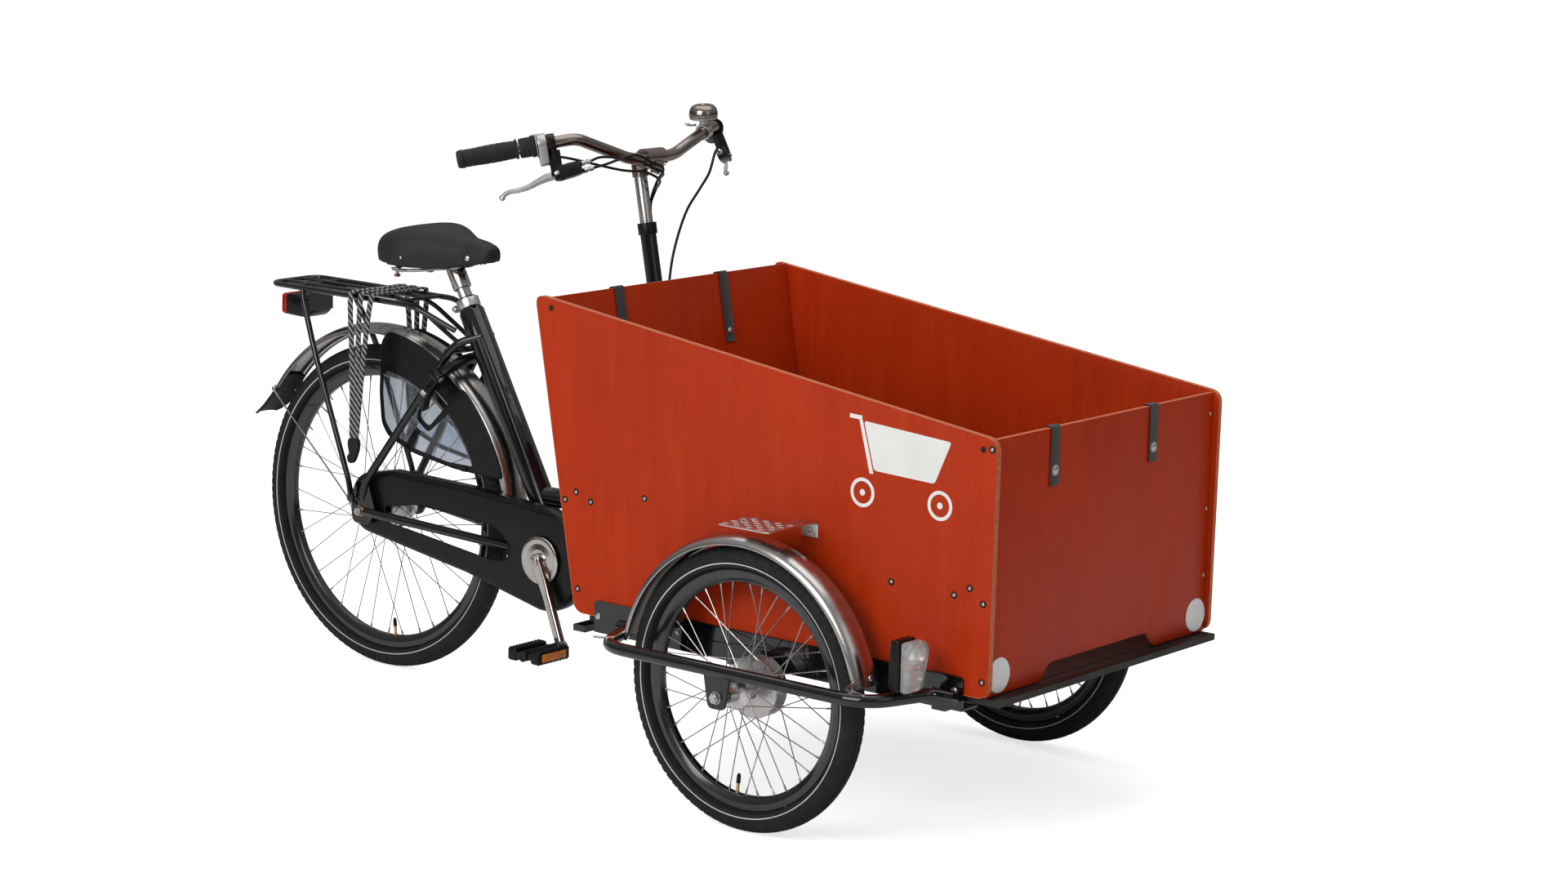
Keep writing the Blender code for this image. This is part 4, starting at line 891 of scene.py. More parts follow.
def chain():
    """Roller chain: one link after another round the chain ring and the sprocket."""
    big, small = 0.0795, 0.0325
    path = []
    for centre, radius, start, end in ((BB, big, -96, 96), (REAR_AXLE, small, 96, 264)):
        path += [on_circle(centre, radius, math.radians(start + (end - start) * k / 40), CHAIN_Y)
                 for k in range(41)]
    path.append(path[0])
    lengths = [0.0]
    for a, b in zip(path, path[1:]):
        lengths.append(lengths[-1] + (b - a).length)
    count = 2 * round(lengths[-1] / (2 * CHAIN_PITCH))

    def at(distance):
        distance %= lengths[-1]
        i = max(k for k, total in enumerate(lengths[:-1]) if total <= distance)
        return path[i].lerp(path[i + 1], (distance - lengths[i]) / (lengths[i + 1] - lengths[i]))
    parts = []
    for k in range(count):
        one, two = (at(lengths[-1] * (k + step) / count) for step in (0, 1))
        parts.append(rod(one - Y * 0.004, one + Y * 0.004, 0.0021, 8))
        along = (two - one).normalized()
        up = along.cross(Y)
        y = 0.0036 if k % 2 else 0.0026
        for side in (-1, 1):
            outline = []
            for spot, shift, tall in ((one, -0.003, 0.002), (one, 0.001, 0.0041),
                    (one.lerp(two, 0.5), 0, 0.0028), (two, -0.001, 0.0041), (two, 0.003, 0.002)):
                outline.append((spot + along * shift, tall))
            loop = [p + up * t for p, t in outline] + [p - up * t for p, t in outline[::-1]]
            parts.append(skinned([[p + Y * side * y for p in loop],
                    [p + Y * side * (y + 0.0009) for p in loop]]))
    remake("chain", parts, "rear_frame", "steel")


def cranks():
    reach = outward(CRANK_ANGLE)
    for side, name, arm_dir in ((-1, "right", reach), (1, "left", -reach)):
        tip = BB + arm_dir * CRANK
        root, end = BB + Y * side * 0.0755, tip + Y * side * 0.09
        path = rounded([root - arm_dir * 0.006, root + arm_dir * 0.045, end + arm_dir * 0.004], 0.05)
        square = smooth_outline(corners(-0.0125, -0.0125, 0.0125, 0.0125), 0.008, 4)
        arm = swept(path, lambda t: [(a * (1.05 - 0.33 * t), b * (0.7 - 0.12 * t)) for a, b in square])
        eye = lathe(corners(0.0052, side * 0.082, 0.0122, side * 0.098), tip, Y, 32, 0.0018)
        boss = lathe([(0.0005, side * 0.0385), (0.0136, side * 0.0385), (0.015, side * 0.07),
                      (0.0136, side * 0.0835), (0.0005, side * 0.0835)], BB, Y, 40, 0.002)
        cap = [lathe([(0.0005, side * 0.0835), (0.0098, side * 0.0835), (0.0085, side * 0.0862),
                      (0.0005, side * 0.087)], BB, Y, 32, 0.0006),
               hex_nut(0.008, 0.086, 0.0885, BB, Y * side)]
        if side < 0:
            dish = lathe([(0.012, -0.0655), (0.046, -0.0655), (0.0468, -0.0668), (0.0458, -0.069),
                          (0.041, -0.0702), (0.033, -0.0694), (0.022, -0.0716), (0.012, -0.072)], BB, Y, 64,
                         0.0006)
            cap.append(dish)
        else:
            cap.append(rod(BB - Y * 0.0715, BB + Y * 0.078, 0.0085, 20))
        body = gather([arm, eye, boss, *cap])
        remake(f"crank_{name}", body, "crankset", "chrome", bevel=0.0004)
        pedal(side, name, tip)


def pedal(side, name, tip):
    """A block pedal: two ribbed treads on a core tube, with an orange reflector in each."""
    parts, lights = [], []
    for way in (-1, 1):
        cx = tip.x + way * 0.029
        y_low, y_high = span(side, 0.108, 0.195)
        outline = smooth_outline(corners(cx - 0.0105, y_low, cx + 0.0105, y_high), 0.004, 4)
        parts.append(cushioned(outline, tip.z - 0.0115, tip.z + 0.0115, 0.0025, xy))
        for k in range(10):
            y = y_low + 0.006 + (y_high - y_low - 0.012) * k / 9
            parts.append(block((cx - 0.009, y - 0.002, tip.z - 0.013),
                               (cx + 0.009, y + 0.002, tip.z + 0.013)))
        y_low, y_high = span(side, 0.119, 0.184)
        face = cx + way * 0.0105
        lights.append(block((face - 0.0012, y_low, tip.z - 0.0075), (face + 0.0012, y_high, tip.z + 0.0075)))
    for a, b in ((0.108, 0.116), (0.186, 0.194)):
        y_low, y_high = span(side, a, b)
        parts.append(block((tip.x - 0.024, y_low, tip.z - 0.006), (tip.x + 0.024, y_high, tip.z + 0.006)))
    parts.append(rod(tip + Y * side * 0.106, tip + Y * side * 0.197, 0.0105, 28))
    remake(f"pedal_{name}", parts, f"pedal_{name}", "black_plastic", bevel=0.0007)
    spindle = [rod(tip + Y * side * 0.083, tip + Y * side * 0.11, 0.0046, 16),
               hex_nut(0.015, 0.0995, 0.105, tip, Y * side)]
    piece(f"pedal_{name}_spindle", spindle, f"pedal_{name}", "steel")
    piece(f"pedal_{name}_reflectors", lights, f"pedal_{name}", "reflector_orange", bevel=0.0006)


def guard_section(radius, half, crown):
    """A mudguard's cross-section as (radius, y): a crowned sheet with rolled edges."""
    outer = arc_points(radius - crown, 0, crown, half, range(-84, 85, 7))
    rolled = [(radius - crown - 0.0002, half + 0.0006), (radius - crown - 0.002, half + 0.0004),
              (radius - crown - 0.0022, half - 0.0016)]
    inner = [(r - 0.0011, y * (half - 0.0012) / half) for r, y in outer[::-1]]
    return outer + rolled + inner + [(r, -y) for r, y in rolled[::-1]]


def mudguard(centre, radius, half, start, end):
    section = guard_section(radius, half, 0.016)
    count = round((end - start) / 2)
    rings = []
    for i in range(count + 1):
        a = math.radians(start + (end - start) * i / count)
        out = outward(a)
        rings.append([centre + out * r + Y * y for r, y in section])
    return skinned(rings)


def rear_mudguard():
    parts = [mudguard(REAR_AXLE, 0.368, 0.031, 6, 147)]
    back = math.radians(145)
    for side in (-1, 1):
        path = [on_circle(REAR_AXLE, 0.366, back, side * 0.0225),
                on_circle(REAR_AXLE, 0.356, back, side * 0.0365), Vector((-0.026, side * 0.0805, 0.344)),
                Vector((-0.018, side * 0.0805, 0.336))]
        parts.append(tube(path, 0.0018, 10, 0.008))
    remake("rear_mudguard", parts, "rear_frame", "stainless")
    bolts = []
    for side in (-1, 1):
        spot = on_circle(REAR_AXLE, 0.3565, back, side * 0.034)
        bolts += [button(0.005, 0.0035, spot, Y * side, 16), rod(spot - Y * side * 0.006, spot, 0.0038, 12)]
        bolts.append(button(0.0045, 0.003, (-0.02, side * 0.0828, 0.338), Y * side, 16))
    piece("mudguard_bolts", bolts, "rear_frame", "steel")
    rings = []
    for degrees, radius, half, crown in ((140, 0.3655, 0.029, 0.015), (145, 0.3665, 0.033, 0.015),
            (149, 0.369, 0.035, 0.0145), (153, 0.3745, 0.0355, 0.0125), (156, 0.383, 0.033, 0.0095),
            (157.6, 0.3895, 0.028, 0.007)):
        a = math.radians(degrees)
        upper = arc_points(radius - crown, 0, crown, half, range(-90, 91, 12))
        lower = [(r - 0.0035, y * 0.93) for r, y in upper[::-1]]
        out = outward(a)
        rings.append([REAR_AXLE + out * r + Y * y for r, y in upper + lower])
    piece("mud_flap", skinned(rings), "rear_frame", "grip_rubber", bevel=0.0008)


def rear_rack():
    half = [Vector(p) for p in ((0.214, 0.03, 0.705), (0.132, 0.064, 0.749), (-0.268, 0.064, 0.7525))]
    rail = [Vector((p.x, -p.y, p.z)) for p in half] + half[::-1]
    pieces = [tube(rail, 0.0056, 20, 0.03, steps=10)]
    for side in (-1, 1):
        leg = [(-0.176, side * 0.064, 0.752), (-0.166, side * 0.07, 0.726), (-0.119, side * 0.0855, 0.631),
               (-0.019, side * 0.089, 0.383), (-0.014, side * 0.089, 0.352)]
        pieces.append(tube(leg, 0.0058, 16, 0.03))
        pieces.append(rod((-0.014, side * 0.085, 0.352), (-0.014, side * 0.0925, 0.352), 0.0085, 20))
        pieces.append(tube([(-0.269, side * 0.022, 0.7524), (0.085, side * 0.022, 0.752),
                            (0.166, side * 0.022, 0.7065), (0.205, side * 0.021, 0.685),
                            (0.234, side * 0.017, 0.669)], 0.0047, 16, 0.05))
    for x in (-0.205, -0.06, 0.085):
        pieces.append(rod((x, -0.0635, 0.7507), (x, 0.0635, 0.7507), 0.0042, 12))
    pieces.append(block((-0.192, -0.03, 0.7), (-0.186, 0.03, 0.748)))
    remake("rear_rack", pieces, "rear_frame", "frame_paint", bevel=0.0004)
    outline = smooth_outline([(-0.262, 0.686), (-0.205, 0.684), (-0.187, 0.698), (-0.189, 0.724),
            (-0.262, 0.729)], 0.01, 6)
    shell = cushioned(outline, -0.0315, 0.0315, 0.007, xz)
    piece("rear_light_housing", shell, "rear_frame", "black_plastic", ["rear_light"])
    lens = smooth_outline([(-0.274, 0.689), (-0.2585, 0.685), (-0.2585, 0.73), (-0.272, 0.728)], 0.006, 6)
    ribs = [cushioned(lens, -0.032, 0.032, 0.006, xz)]
    for k in range(9):
        y = -0.024 + 0.006 * k
        ribs.append(rod((-0.2735, y, 0.694), (-0.272, y, 0.724), 0.0014, 8))
    piece("rear_light_lens", ribs, "rear_frame", "tail_lamp")


def coat_guards():
    """A smoky window in a black frame, with a notch for the ring lock, on each side of the wheel."""
    def arc(radius, degrees):
        return arc_points(REAR_AXLE.x, REAR_AXLE.z, radius, radius, degrees)

    edge = arc(0.362, [17, 21, 25, 29, 33, 37, 41, 45, 48.6]) + arc(0.236, [50.5, 58.5])
    edge += arc(0.362, [60.4, 64, 68, 72, 76, 80, 84])
    outline = edge + [(0.02, 0.662), (0.0155, 0.56), (0.0215, 0.5), (0.04, 0.476), (0.11, 0.452),
                      (0.22, 0.436)]
    window = arc(0.296, [24, 29, 34, 39, 44, 47]) + arc(0.226, [49.5, 54.5, 59.5]) + arc(0.284,
            [62, 68, 74, 80, 85])
    window += [(0.0225, 0.56), (0.0285, 0.506), (0.046, 0.484), (0.112, 0.46), (0.2, 0.446)]
    for side, name in SIDES:
        low, high = span(side, 0.0345, 0.0368)
        frame_mesh = carve(side_plate(smooth_outline(outline, 0.012, 4), low, high),
                           side_plate(smooth_outline(window, 0.01, 4), *span(side, 0.03, 0.05)))
        bead = [xz(u, v, side * 0.0366) for u, v in smooth_outline(outline, 0.012, 3)]
        parts = [frame_mesh, swept(bead, lambda t: circle(0.0017, 8), True)]
        piece(f"coat_guard_{name}_frame", parts, "rear_frame", "black_plastic", [f"coat_guard_{name}"],
              bevel=0.0004)
        sheet = side_plate(smooth_outline(shrunk(window, -0.004), 0.01, 4), *span(side, 0.0346, 0.0357))
        piece(f"coat_guard_{name}_window", sheet, "rear_frame", "smoky_plastic")
        low, high = span(side, 0.036, 0.04)
        hooks = [block((x - 0.007, low, z - 0.005), (x + 0.007, high, z + 0.005)) for x, z in
                 ((0.026, 0.606), (0.058, 0.474), (0.246, 0.438))]
        piece(f"coat_guard_{name}_clips", hooks, "rear_frame", "black_plastic", bevel=0.001)


def ring_lock():
    """A horseshoe lock round the tyre, with the key barrel on the right leg."""
    out = outward(LOCK_ANGLE)
    centre, normal = REAR_AXLE + out * LOCK_R, out.cross(Y)

    def arc(start, end, steps):
        spots = []
        for i in range(steps + 1):
            a = math.radians(start + (end - start) * i / steps)
            spots.append(centre + (out * math.cos(a) + Y * math.sin(a)) * LOCK_RING)
        return spots

    def shell(_):
        return smooth_outline(corners(-0.0088, -0.0092, 0.0088, 0.0092), 0.006, 4)

    body = carve(swept(arc(-124, 124, 60), shell), swept(arc(-126, 126, 60), lambda _: circle(0.0056, 16)))
    barrel_at = centre + (out * math.cos(math.radians(-62)) + Y * math.sin(math.radians(-62))) * 0.088
    barrel = lathe(corners(0.0005, -0.012, 0.011, 0.012), barrel_at, normal, 32, 0.002)
    remake("ring_lock_body", [body, barrel], "rear_frame", "black_plastic")
    key = [lathe(corners(0.0005, 0.012, 0.0065, 0.0145), barrel_at, -normal, 24, 0.0005),
           block((-0.001, -0.0045, 0), (0.001, 0.0045, 0.002))]
    key[1].transform(Matrix.Translation(barrel_at - normal * 0.015))
    mounts = []
    for side in (-1, 1):
        spot = centre + Y * side * (LOCK_RING + 0.0105) - out * 0.004
        mounts.append(rod(spot - normal * 0.006, spot + normal * 0.006, 0.0055, 16))
    piece("ring_lock_fittings", key + mounts, "rear_frame", "steel")
    shackle = [swept(arc(-122, 15, 40), lambda t: circle(0.004, 16))]
    remake("ring_lock_shackle", shackle, "lock_shackle", "steel")


def bungee_straps():
    """Three woven cords over the rack that meet in a rubber hook on each side."""
    cords = []
    for shift in (-1, 0, 1):
        half = [(-0.013 + shift * 0.005, 0.082, 0.456), (-0.011 + shift * 0.007, 0.082, 0.49),
                (-0.003 + shift * 0.015, 0.0815, 0.62), (0.001 + shift * 0.025, 0.08, 0.72),
                (0.002 + shift * 0.0285, 0.076, 0.752), (0.002 + shift * 0.029, 0.066, 0.7605)]
        path = [Vector((x, -y, z)) for x, y, z in half] + [Vector((0.002 + shift * 0.03, 0, 0.76))]
        path += [Vector(p) for p in half[::-1]]
        path = flowing(path, 7)
        rings = []
        for i, (point, along) in enumerate(tangents(path)):
            flat = (X - along * X.dot(along)).normalized()
            thick = along.cross(flat).normalized()
            ripple = 1 + 0.06 * math.sin(i * 2.4 + shift)
            rings.append([point + flat * a * ripple + thick * b for a, b in circle(0.0068, 16, 0.42)])
        cords.append(skinned(rings))
    remake("bungee_straps", cords, "rear_frame", "elastic_webbing", angle=60)
    hooks = []
    for side in (-1, 1):
        outline = smooth_outline([(-0.026, 0.47), (0.002, 0.472), (0.003, 0.452), (-0.006, 0.43),
                (-0.014, 0.419), (-0.027, 0.421), (-0.029, 0.434), (-0.022, 0.44), (-0.027, 0.454)], 0.008,
                5)
        low, high = span(side, 0.0765, 0.0875)
        hooks.append(cushioned(outline, low, high, 0.003, xz))
    piece("bungee_hooks", hooks, "rear_frame", "grip_rubber")


# ---------------------------------------------------------------- saddle
def saddle_section(half, low, high):
    """A 28-point crowned section: wide soft shoulders and a slightly dished top."""
    spots = []
    for k in range(29):
        a = math.pi * k / 28
        u, h = math.cos(a), math.sin(a)
        wide = math.copysign(abs(u) ** 0.62, u)
        rise = h ** 0.55
        spots.append((half * wide, low + (high - low) * rise))
    return spots


def saddle_shell():
    """The padded skin: an arch along X that is open underneath."""
    thick = 0.009
    rings = []
    for x, half, low, high in flowing(SADDLE, 4):
        outer = saddle_section(half, low, high)
        inner = saddle_section(max(half - thick, half * 0.4), low - 0.0005, max(high - thick, low + 0.004))
        rings.append([Vector((x, y, z)) for y, z in outer + inner[::-1]])
    return skinned(rings)


def padded(obj):
    """Give the skin its stuffed look with a short cloth run, held close to its shape."""
    remesh = obj.modifiers.new("even", "REMESH")
    remesh.mode = "VOXEL"
    remesh.voxel_size = 0.005
    settle(obj)
    start = [v.co.copy() for v in obj.data.vertices]
    cloth = obj.modifiers.new("stuffing", "CLOTH")
    cloth.settings.quality = 5
    cloth.settings.use_pressure = True
    cloth.settings.uniform_pressure_force = 4.0
    cloth.settings.effector_weights.gravity = 0.0
    scene = bpy.context.scene
    for number in range(1, STUFFING_STEPS + 1):
        scene.frame_set(number)
    settle(obj)
    for vert, was in zip(obj.data.vertices, start):
        step = vert.co - was
        if step.length > STUFFING_REACH:
            vert.co = was + step.normalized() * STUFFING_REACH
    scene.frame_set(1)


def settle(obj):
    """Keep the shape that the modifiers make."""
    graph = bpy.context.evaluated_depsgraph_get()
    mesh = bpy.data.meshes.new_from_object(obj.evaluated_get(graph))
    old = obj.data
    obj.modifiers.clear()
    obj.data = mesh
    bpy.data.meshes.remove(old)


def saddle():
    cover = blank_copy(saddle_shell())
    cover.name = "saddle_cover_look"
    padded(cover)
    smooth = cover.modifiers.new("smooth", "SMOOTH")
    smooth.iterations = 3
    smooth.factor = 0.5
    finer = cover.modifiers.new("finer", "SUBSURF")
    finer.levels = finer.render_levels = 1
    settle(cover)
    cover.data.shade_smooth()
    cover.data.materials.clear()
    cover.data.materials.append(LOOKS["saddle_leather"])
    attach(cover, "saddle")
    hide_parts("saddle_cover")
    rivets = []
    for side in (-1, 1):
        rivets.append(button(0.005, 0.0024, (0.126, side * 0.093, 0.845), (0.15, side, 0)))
        rivets.append(button(0.005, 0.0024, (0.248, side * 0.0335, 0.85), (0.3, side, 0)))
    piece("saddle_rivets", rivets, "saddle", "bright_alloy")
    cap_top = 0.603
    cup = lathe(corners(0.015, 0.558, 0.0182, cap_top), BB, SEAT_DIR, 40, 0.0012)
    bolt_at = seat_point(cap_top) + Vector((-0.004, 0, 0.009))
    parts = [cup, rod(bolt_at - Y * 0.029, bolt_at + Y * 0.029, 0.0042, 16)]
    for side in (-1, 1):
        parts.append(lathe([(0.0045, side * 0.013), (0.0128, side * 0.013), (0.0128, side * 0.0205),
                            (0.01, side * 0.0225), (0.0045, side * 0.0225)], bolt_at, Y, 32, 0.0012))
        parts.append(hex_nut(0.014, 0.023, 0.0285, bolt_at, Y * side))
        rail = [(0.24, side * 0.01, 0.8455), (0.212, side * 0.019, 0.827), (0.179, side * 0.022, 0.823),
                (0.12, side * 0.026, 0.814), (0.095, side * 0.044, 0.812), (0.06, side * 0.046, 0.812)]
        parts.append(tube(rail, 0.0033, 16, 0.02))
        upper = [(0.2, side * 0.016, 0.832), (0.13, side * 0.03, 0.826), (0.072, side * 0.046, 0.826)]
        parts.append(tube(upper, 0.0026, 12, 0.02))
        parts.append(rod((0.072, side * 0.046, 0.8), (0.072, side * 0.046, 0.842), 0.0035, 16))
        parts.append(hex_nut(0.011, 0.7985, 0.804, (0.072, side * 0.046, 0), Z))
        coil = []
        for k in range(61):
            a = 2 * math.pi * 3.2 * k / 60
            coil.append(Vector((0.072 + 0.0105 * math.cos(a), side * 0.046 + 0.0105 * math.sin(a),
                                0.809 + 0.03 * k / 60)))
        parts.append(swept(coil, lambda t: circle(0.0021, 10)))
    parts.append(tube([(0.24, -0.011, 0.8455), (0.24, 0.011, 0.8455)], 0.0035, 16))
    remake("saddle_frame", parts, "saddle", "chrome")


# ---------------------------------------------------------------- platform
def rear_edge_x(z):
    """The side panels' sloping rear edge."""
    x_top, z_top = BOX_REAR_TOP
    return x_top + (BOX_REAR_BOTTOM_X - x_top) * (z_top - z) / (z_top - BOX_BOTTOM)


def on_column(z):
    return COLUMN_FOOT + COLUMN_DIR * (z - COLUMN_FOOT.z) / COLUMN_DIR.z


def platform_frame():
    x0, x1, z0, z1, thick = RAIL
    pieces = []
    for side in (-1, 1):
        y_in, y_out = PANEL_Y + GAP, PANEL_Y + GAP + thick
        outline = smooth_outline(corners(x0, z0, x1, z1), 0.01, 4)
        low, high = span(side, y_in, y_out)
        pieces.append(side_plate(outline, low, high))
        low, high = span(side, 0.3, y_out)
        pieces.append(block((x0, low, z0), (x1, high, z0 + thick)))
        bracket = smooth_outline([(FRONT_AXLE_X - 0.034, 0.3), (FRONT_AXLE_X - 0.02, 0.226),
                (FRONT_AXLE_X + 0.02, 0.226), (FRONT_AXLE_X + 0.034, 0.3)], 0.012, 5)
        low, high = span(side, y_out - 0.002, y_out + 0.004)
        pieces.append(side_plate(bracket, low, high))
    beam_low = z0 - 0.01
    for x in (0.8, 1.16, 1.6):
        pieces.append(block((x, -0.33, beam_low), (x + 0.028, 0.33, z0 + 0.002)))
    pieces.append(block((0.625, -0.02, 0.2285), (0.83, 0.02, 0.2425)))
    pieces.append(block((0.79, -0.02, 0.2285), (1.188, 0.02, beam_low + 0.002)))
    pieces.append(rod((KING_X, 0, 0.228), (KING_X, 0, 0.2425), 0.027, 40))
    pieces.append(rod((KING_X, 0, 0.4375), (KING_X, 0, 0.45), 0.025, 40))
    pieces.append(block((KING_X, -0.016, 0.438), (0.776, 0.016, 0.4495)))
    pieces.append(rod(COLUMN_FOOT, COLUMN_TOP, 0.015, 32))
    for z in (0.8, 0.56):
        low_x, high_x = on_column(z).x, rear_edge_x(z) + REAR_WALL_INSET - 0.003
        pieces.append(block((low_x, -0.024, z - 0.01), (high_x, 0.024, z + 0.01)))
    cuts = [rod((KING_X, 0, 0.2), (KING_X, 0, 0.5), 0.011, 28),
            rod(COLUMN_TOP - COLUMN_DIR * 0.26, COLUMN_TOP + COLUMN_DIR * 0.01, 0.0126, 28),
            rod((FRONT_AXLE_X, -0.37, FRONT_R), (FRONT_AXLE_X, 0.37, FRONT_R), 0.0066, 20)]
    remake("platform_frame", carve(fuse(*pieces), *cuts), "front_platform", "frame_paint",
           bevel=0.0012)
    collar = lathe([(0.0152, -0.02), (0.0178, -0.02), (0.0178, 0.0015), (0.0128, 0.0015), (0.0128, -0.004),
                    (0.0152, -0.004)], COLUMN_TOP, COLUMN_DIR, 40, 0.0006)
    piece("column_collar", collar, "front_platform", "black_plastic")
    bolts = []
    for side in (-1, 1):
        y = PANEL_Y + GAP + thick
        for x, z in ((x0 + 0.01, 0.3), (x1 - 0.016, 0.303), (1.06, 0.303), (1.45, 0.303)):
            bolts.append(button(0.0062, 0.0034, (x, side * y, z), Y * side))
        bolts.append(hex_nut(0.011, 0, 0.0045, (x1 - 0.06, side * y, 0.296), Y * side))
    piece("rail_bolts", bolts, "front_platform", "steel")
    ties = [ring(0.0154, 0.0166, -0.002, 0.002, on_column(z), COLUMN_DIR, 32, 0.0004)
            for z in (0.5, 0.64, 0.76)]
    piece("column_cable_ties", ties, "front_platform", "black_plastic")


# ---------------------------------------------------------------- box
def panel_outline():
    ends = [(BOX_REAR_BOTTOM_X, BOX_BOTTOM), (BOX_FRONT_X, BOX_BOTTOM), BOX_FRONT_TOP, BOX_REAR_TOP]
    return smooth_outline(ends, 0.022, 10)


def is_edge(axis):
    """Picks the faces that belong to a board's sawn edge."""
    return lambda face: abs(face.normal.dot(axis)) < 0.75


SCREWS = [(0.812, 0.516), (0.847, 0.503), (0.786, 0.499), (0.973, 0.527), (0.818, 0.341), (1.517, 0.464),
          (1.646, 0.462), (1.677, 0.478), (1.705, 0.456), (1.707, 0.325), (1.713, 0.713)]
# Places of two holes in each panel; dark discs put there are painted shade for the inside of the holes.
DARK_HOLES = [(0.748, 0.839), (1.696, 0.711)]


def box():
    outline = panel_outline()
    for side, name in SIDES:
        outer, inner = side * PANEL_Y, side * (PANEL_Y - PLY)
        board = cushioned(outline, inner, outer, 0.0016, xz)
        remake(f"side_panel_{name}", board, "front_platform", ["stained_plywood", "ply_edge_side"],
               second=is_edge(Y))
        screws, cups = [], []
        for x, z in SCREWS:
            cups.append(ring(0.003, 0.006, 0, 0.0012, (x, outer, z), Y * side, 28, 0.0004))
            screws.append(button(0.0038, 0.0016, (x, outer, z), Y * side, 18))
        piece(f"panel_screws_{name}", screws, "front_platform", "steel")
        piece(f"panel_screw_cups_{name}", cups, "front_platform", "black_plastic")
        # Painted shade: flat dark rubber discs on the panel face stand for the shade inside the two holes,
        # not for real plugs.
        holes = [ring(0.0002, 0.0052, 0, 0.0008, (x, outer, z), Y * side, 24, 0.0001) for x, z in DARK_HOLES]
        piece(f"panel_hole_shade_{name}", holes, "front_platform", "grip_rubber")
        pictogram(side, name)
    z_top = BOX_REAR_TOP[1] - 0.005
    low_x, high_x = rear_edge_x(BOX_BOTTOM) + REAR_WALL_INSET, rear_edge_x(z_top) + REAR_WALL_INSET
    half = PANEL_Y - PLY - GAP
    lean = math.atan2(low_x - high_x, z_top - BOX_BOTTOM)
    up = Vector((-math.sin(lean), 0, math.cos(lean)))
    out = Vector((-math.cos(lean), 0, -math.sin(lean)))
    length = (z_top - BOX_BOTTOM) / math.cos(lean)
    foot = Vector((low_x, 0, BOX_BOTTOM))
    board = cushioned(corners(-half, 0.0, half, length), -PLY, 0.0, 0.0012,
                      lambda u, v, d: foot + Y * u + up * v + out * d)
    remake("rear_wall", board, "front_platform", ["stained_plywood", "ply_edge_wall"],
           second=is_edge(out))
    top = BOX_FRONT_TOP[1] - 0.002
    low, bend = BOX_BOTTOM, 0.01
    notch = rounded([(-0.19, 0, low), (-0.176, 0, low), (-0.152, 0, low + 0.028), (0.144, 0, low + 0.028),
                     (0.168, 0, low), (0.182, 0, low)], bend, 6)
    outline = [(-half, low)] + [(p.x, p.z) for p in notch] + [(half, low), (half, top), (-half, top)]
    front_x = BOX_FRONT_X - FRONT_WALL_INSET
    board = cushioned(outline, front_x - PLY, front_x, 0.0012, yz)
    remake("front_wall", board, "front_platform", ["stained_plywood", "ply_edge_wall"],
           second=is_edge(X))
    wall_fittings(front_x, foot, up, out, length)


def wall_fittings(front_x, foot, up, out, length):
    discs = [lathe([(0.0002, 0), (0.0295, 0), (0.03, 0.0008), (0.029, 0.0022), (0.0002, 0.0026)],
                   (front_x, y, 0.331), X, 48) for y in (-0.298, 0.298)]
    piece("front_discs", discs, "front_platform", "white_plastic")
    top = BOX_FRONT_TOP[1] - 0.002
    bolts, cups, straps = [], [], []
    for y, z in ((-0.322, 0.69), (-0.322, 0.52), (0.322, 0.69), (0.322, 0.52), (-0.322, 0.4), (0.322, 0.4)):
        bolts.append(button(0.0036, 0.0016, (front_x, y, z), X, 18))
    for y in (-0.159, 0.137):
        path = rounded([(front_x - PLY - 0.0022, y, top - 0.09), (front_x - PLY - 0.0022, y, top + 0.0024),
                        (front_x + 0.0022, y, top + 0.0024), (front_x + 0.0022, y, top - 0.098)], 0.004, 5)
        straps.append(band(path, STRAP_WIDE, STRAP_THICK, Y))
        for x, axis in ((front_x + 0.0032, X), (front_x - PLY - 0.0032, -X)):
            bolts.append(button(0.006, 0.003, (x, y, top - 0.072), axis))
            cups.append(ring(0.006, 0.0095, -0.0006, 0.0008, (x, y, top - 0.072), axis, 28, 0.0004))
    for y in (-0.154, 0.139):
        def at(up_by, off):
            return foot + up * up_by + out * off + Y * y
        path = rounded([at(length - 0.09, 0.0022), at(length + 0.0024, 0.0022),
                        at(length + 0.0024, -PLY - 0.0022), at(length - 0.13, -PLY - 0.0022)], 0.004, 5)
        straps.append(band(path, STRAP_WIDE, STRAP_THICK, Y))
        bolts.append(button(0.006, 0.003, at(length - 0.07, 0.0032), out))
        bolts.append(button(0.006, 0.003, at(length - 0.11, -PLY - 0.0032), -out))
    piece("box_bolts", bolts, "front_platform", "bright_alloy")
    piece("box_washers", cups, "front_platform", "steel")
    piece("box_straps", straps, "front_platform", "nylon_strap")


def band(path, wide, thick, across):
    """A flat strap along a path, with its width along `across`."""
    section = [(-1, -0.4), (-0.92, -1), (0.92, -1), (1, -0.4), (1, 0.4), (0.92, 1), (-0.92, 1), (-1, 0.4)]
    rings = []
    for point, along in tangents(path):
        normal = across.cross(along).normalized()
        rings.append([point + across * s * wide / 2 + normal * n * thick / 2 for s, n in section])
    return skinned(rings)


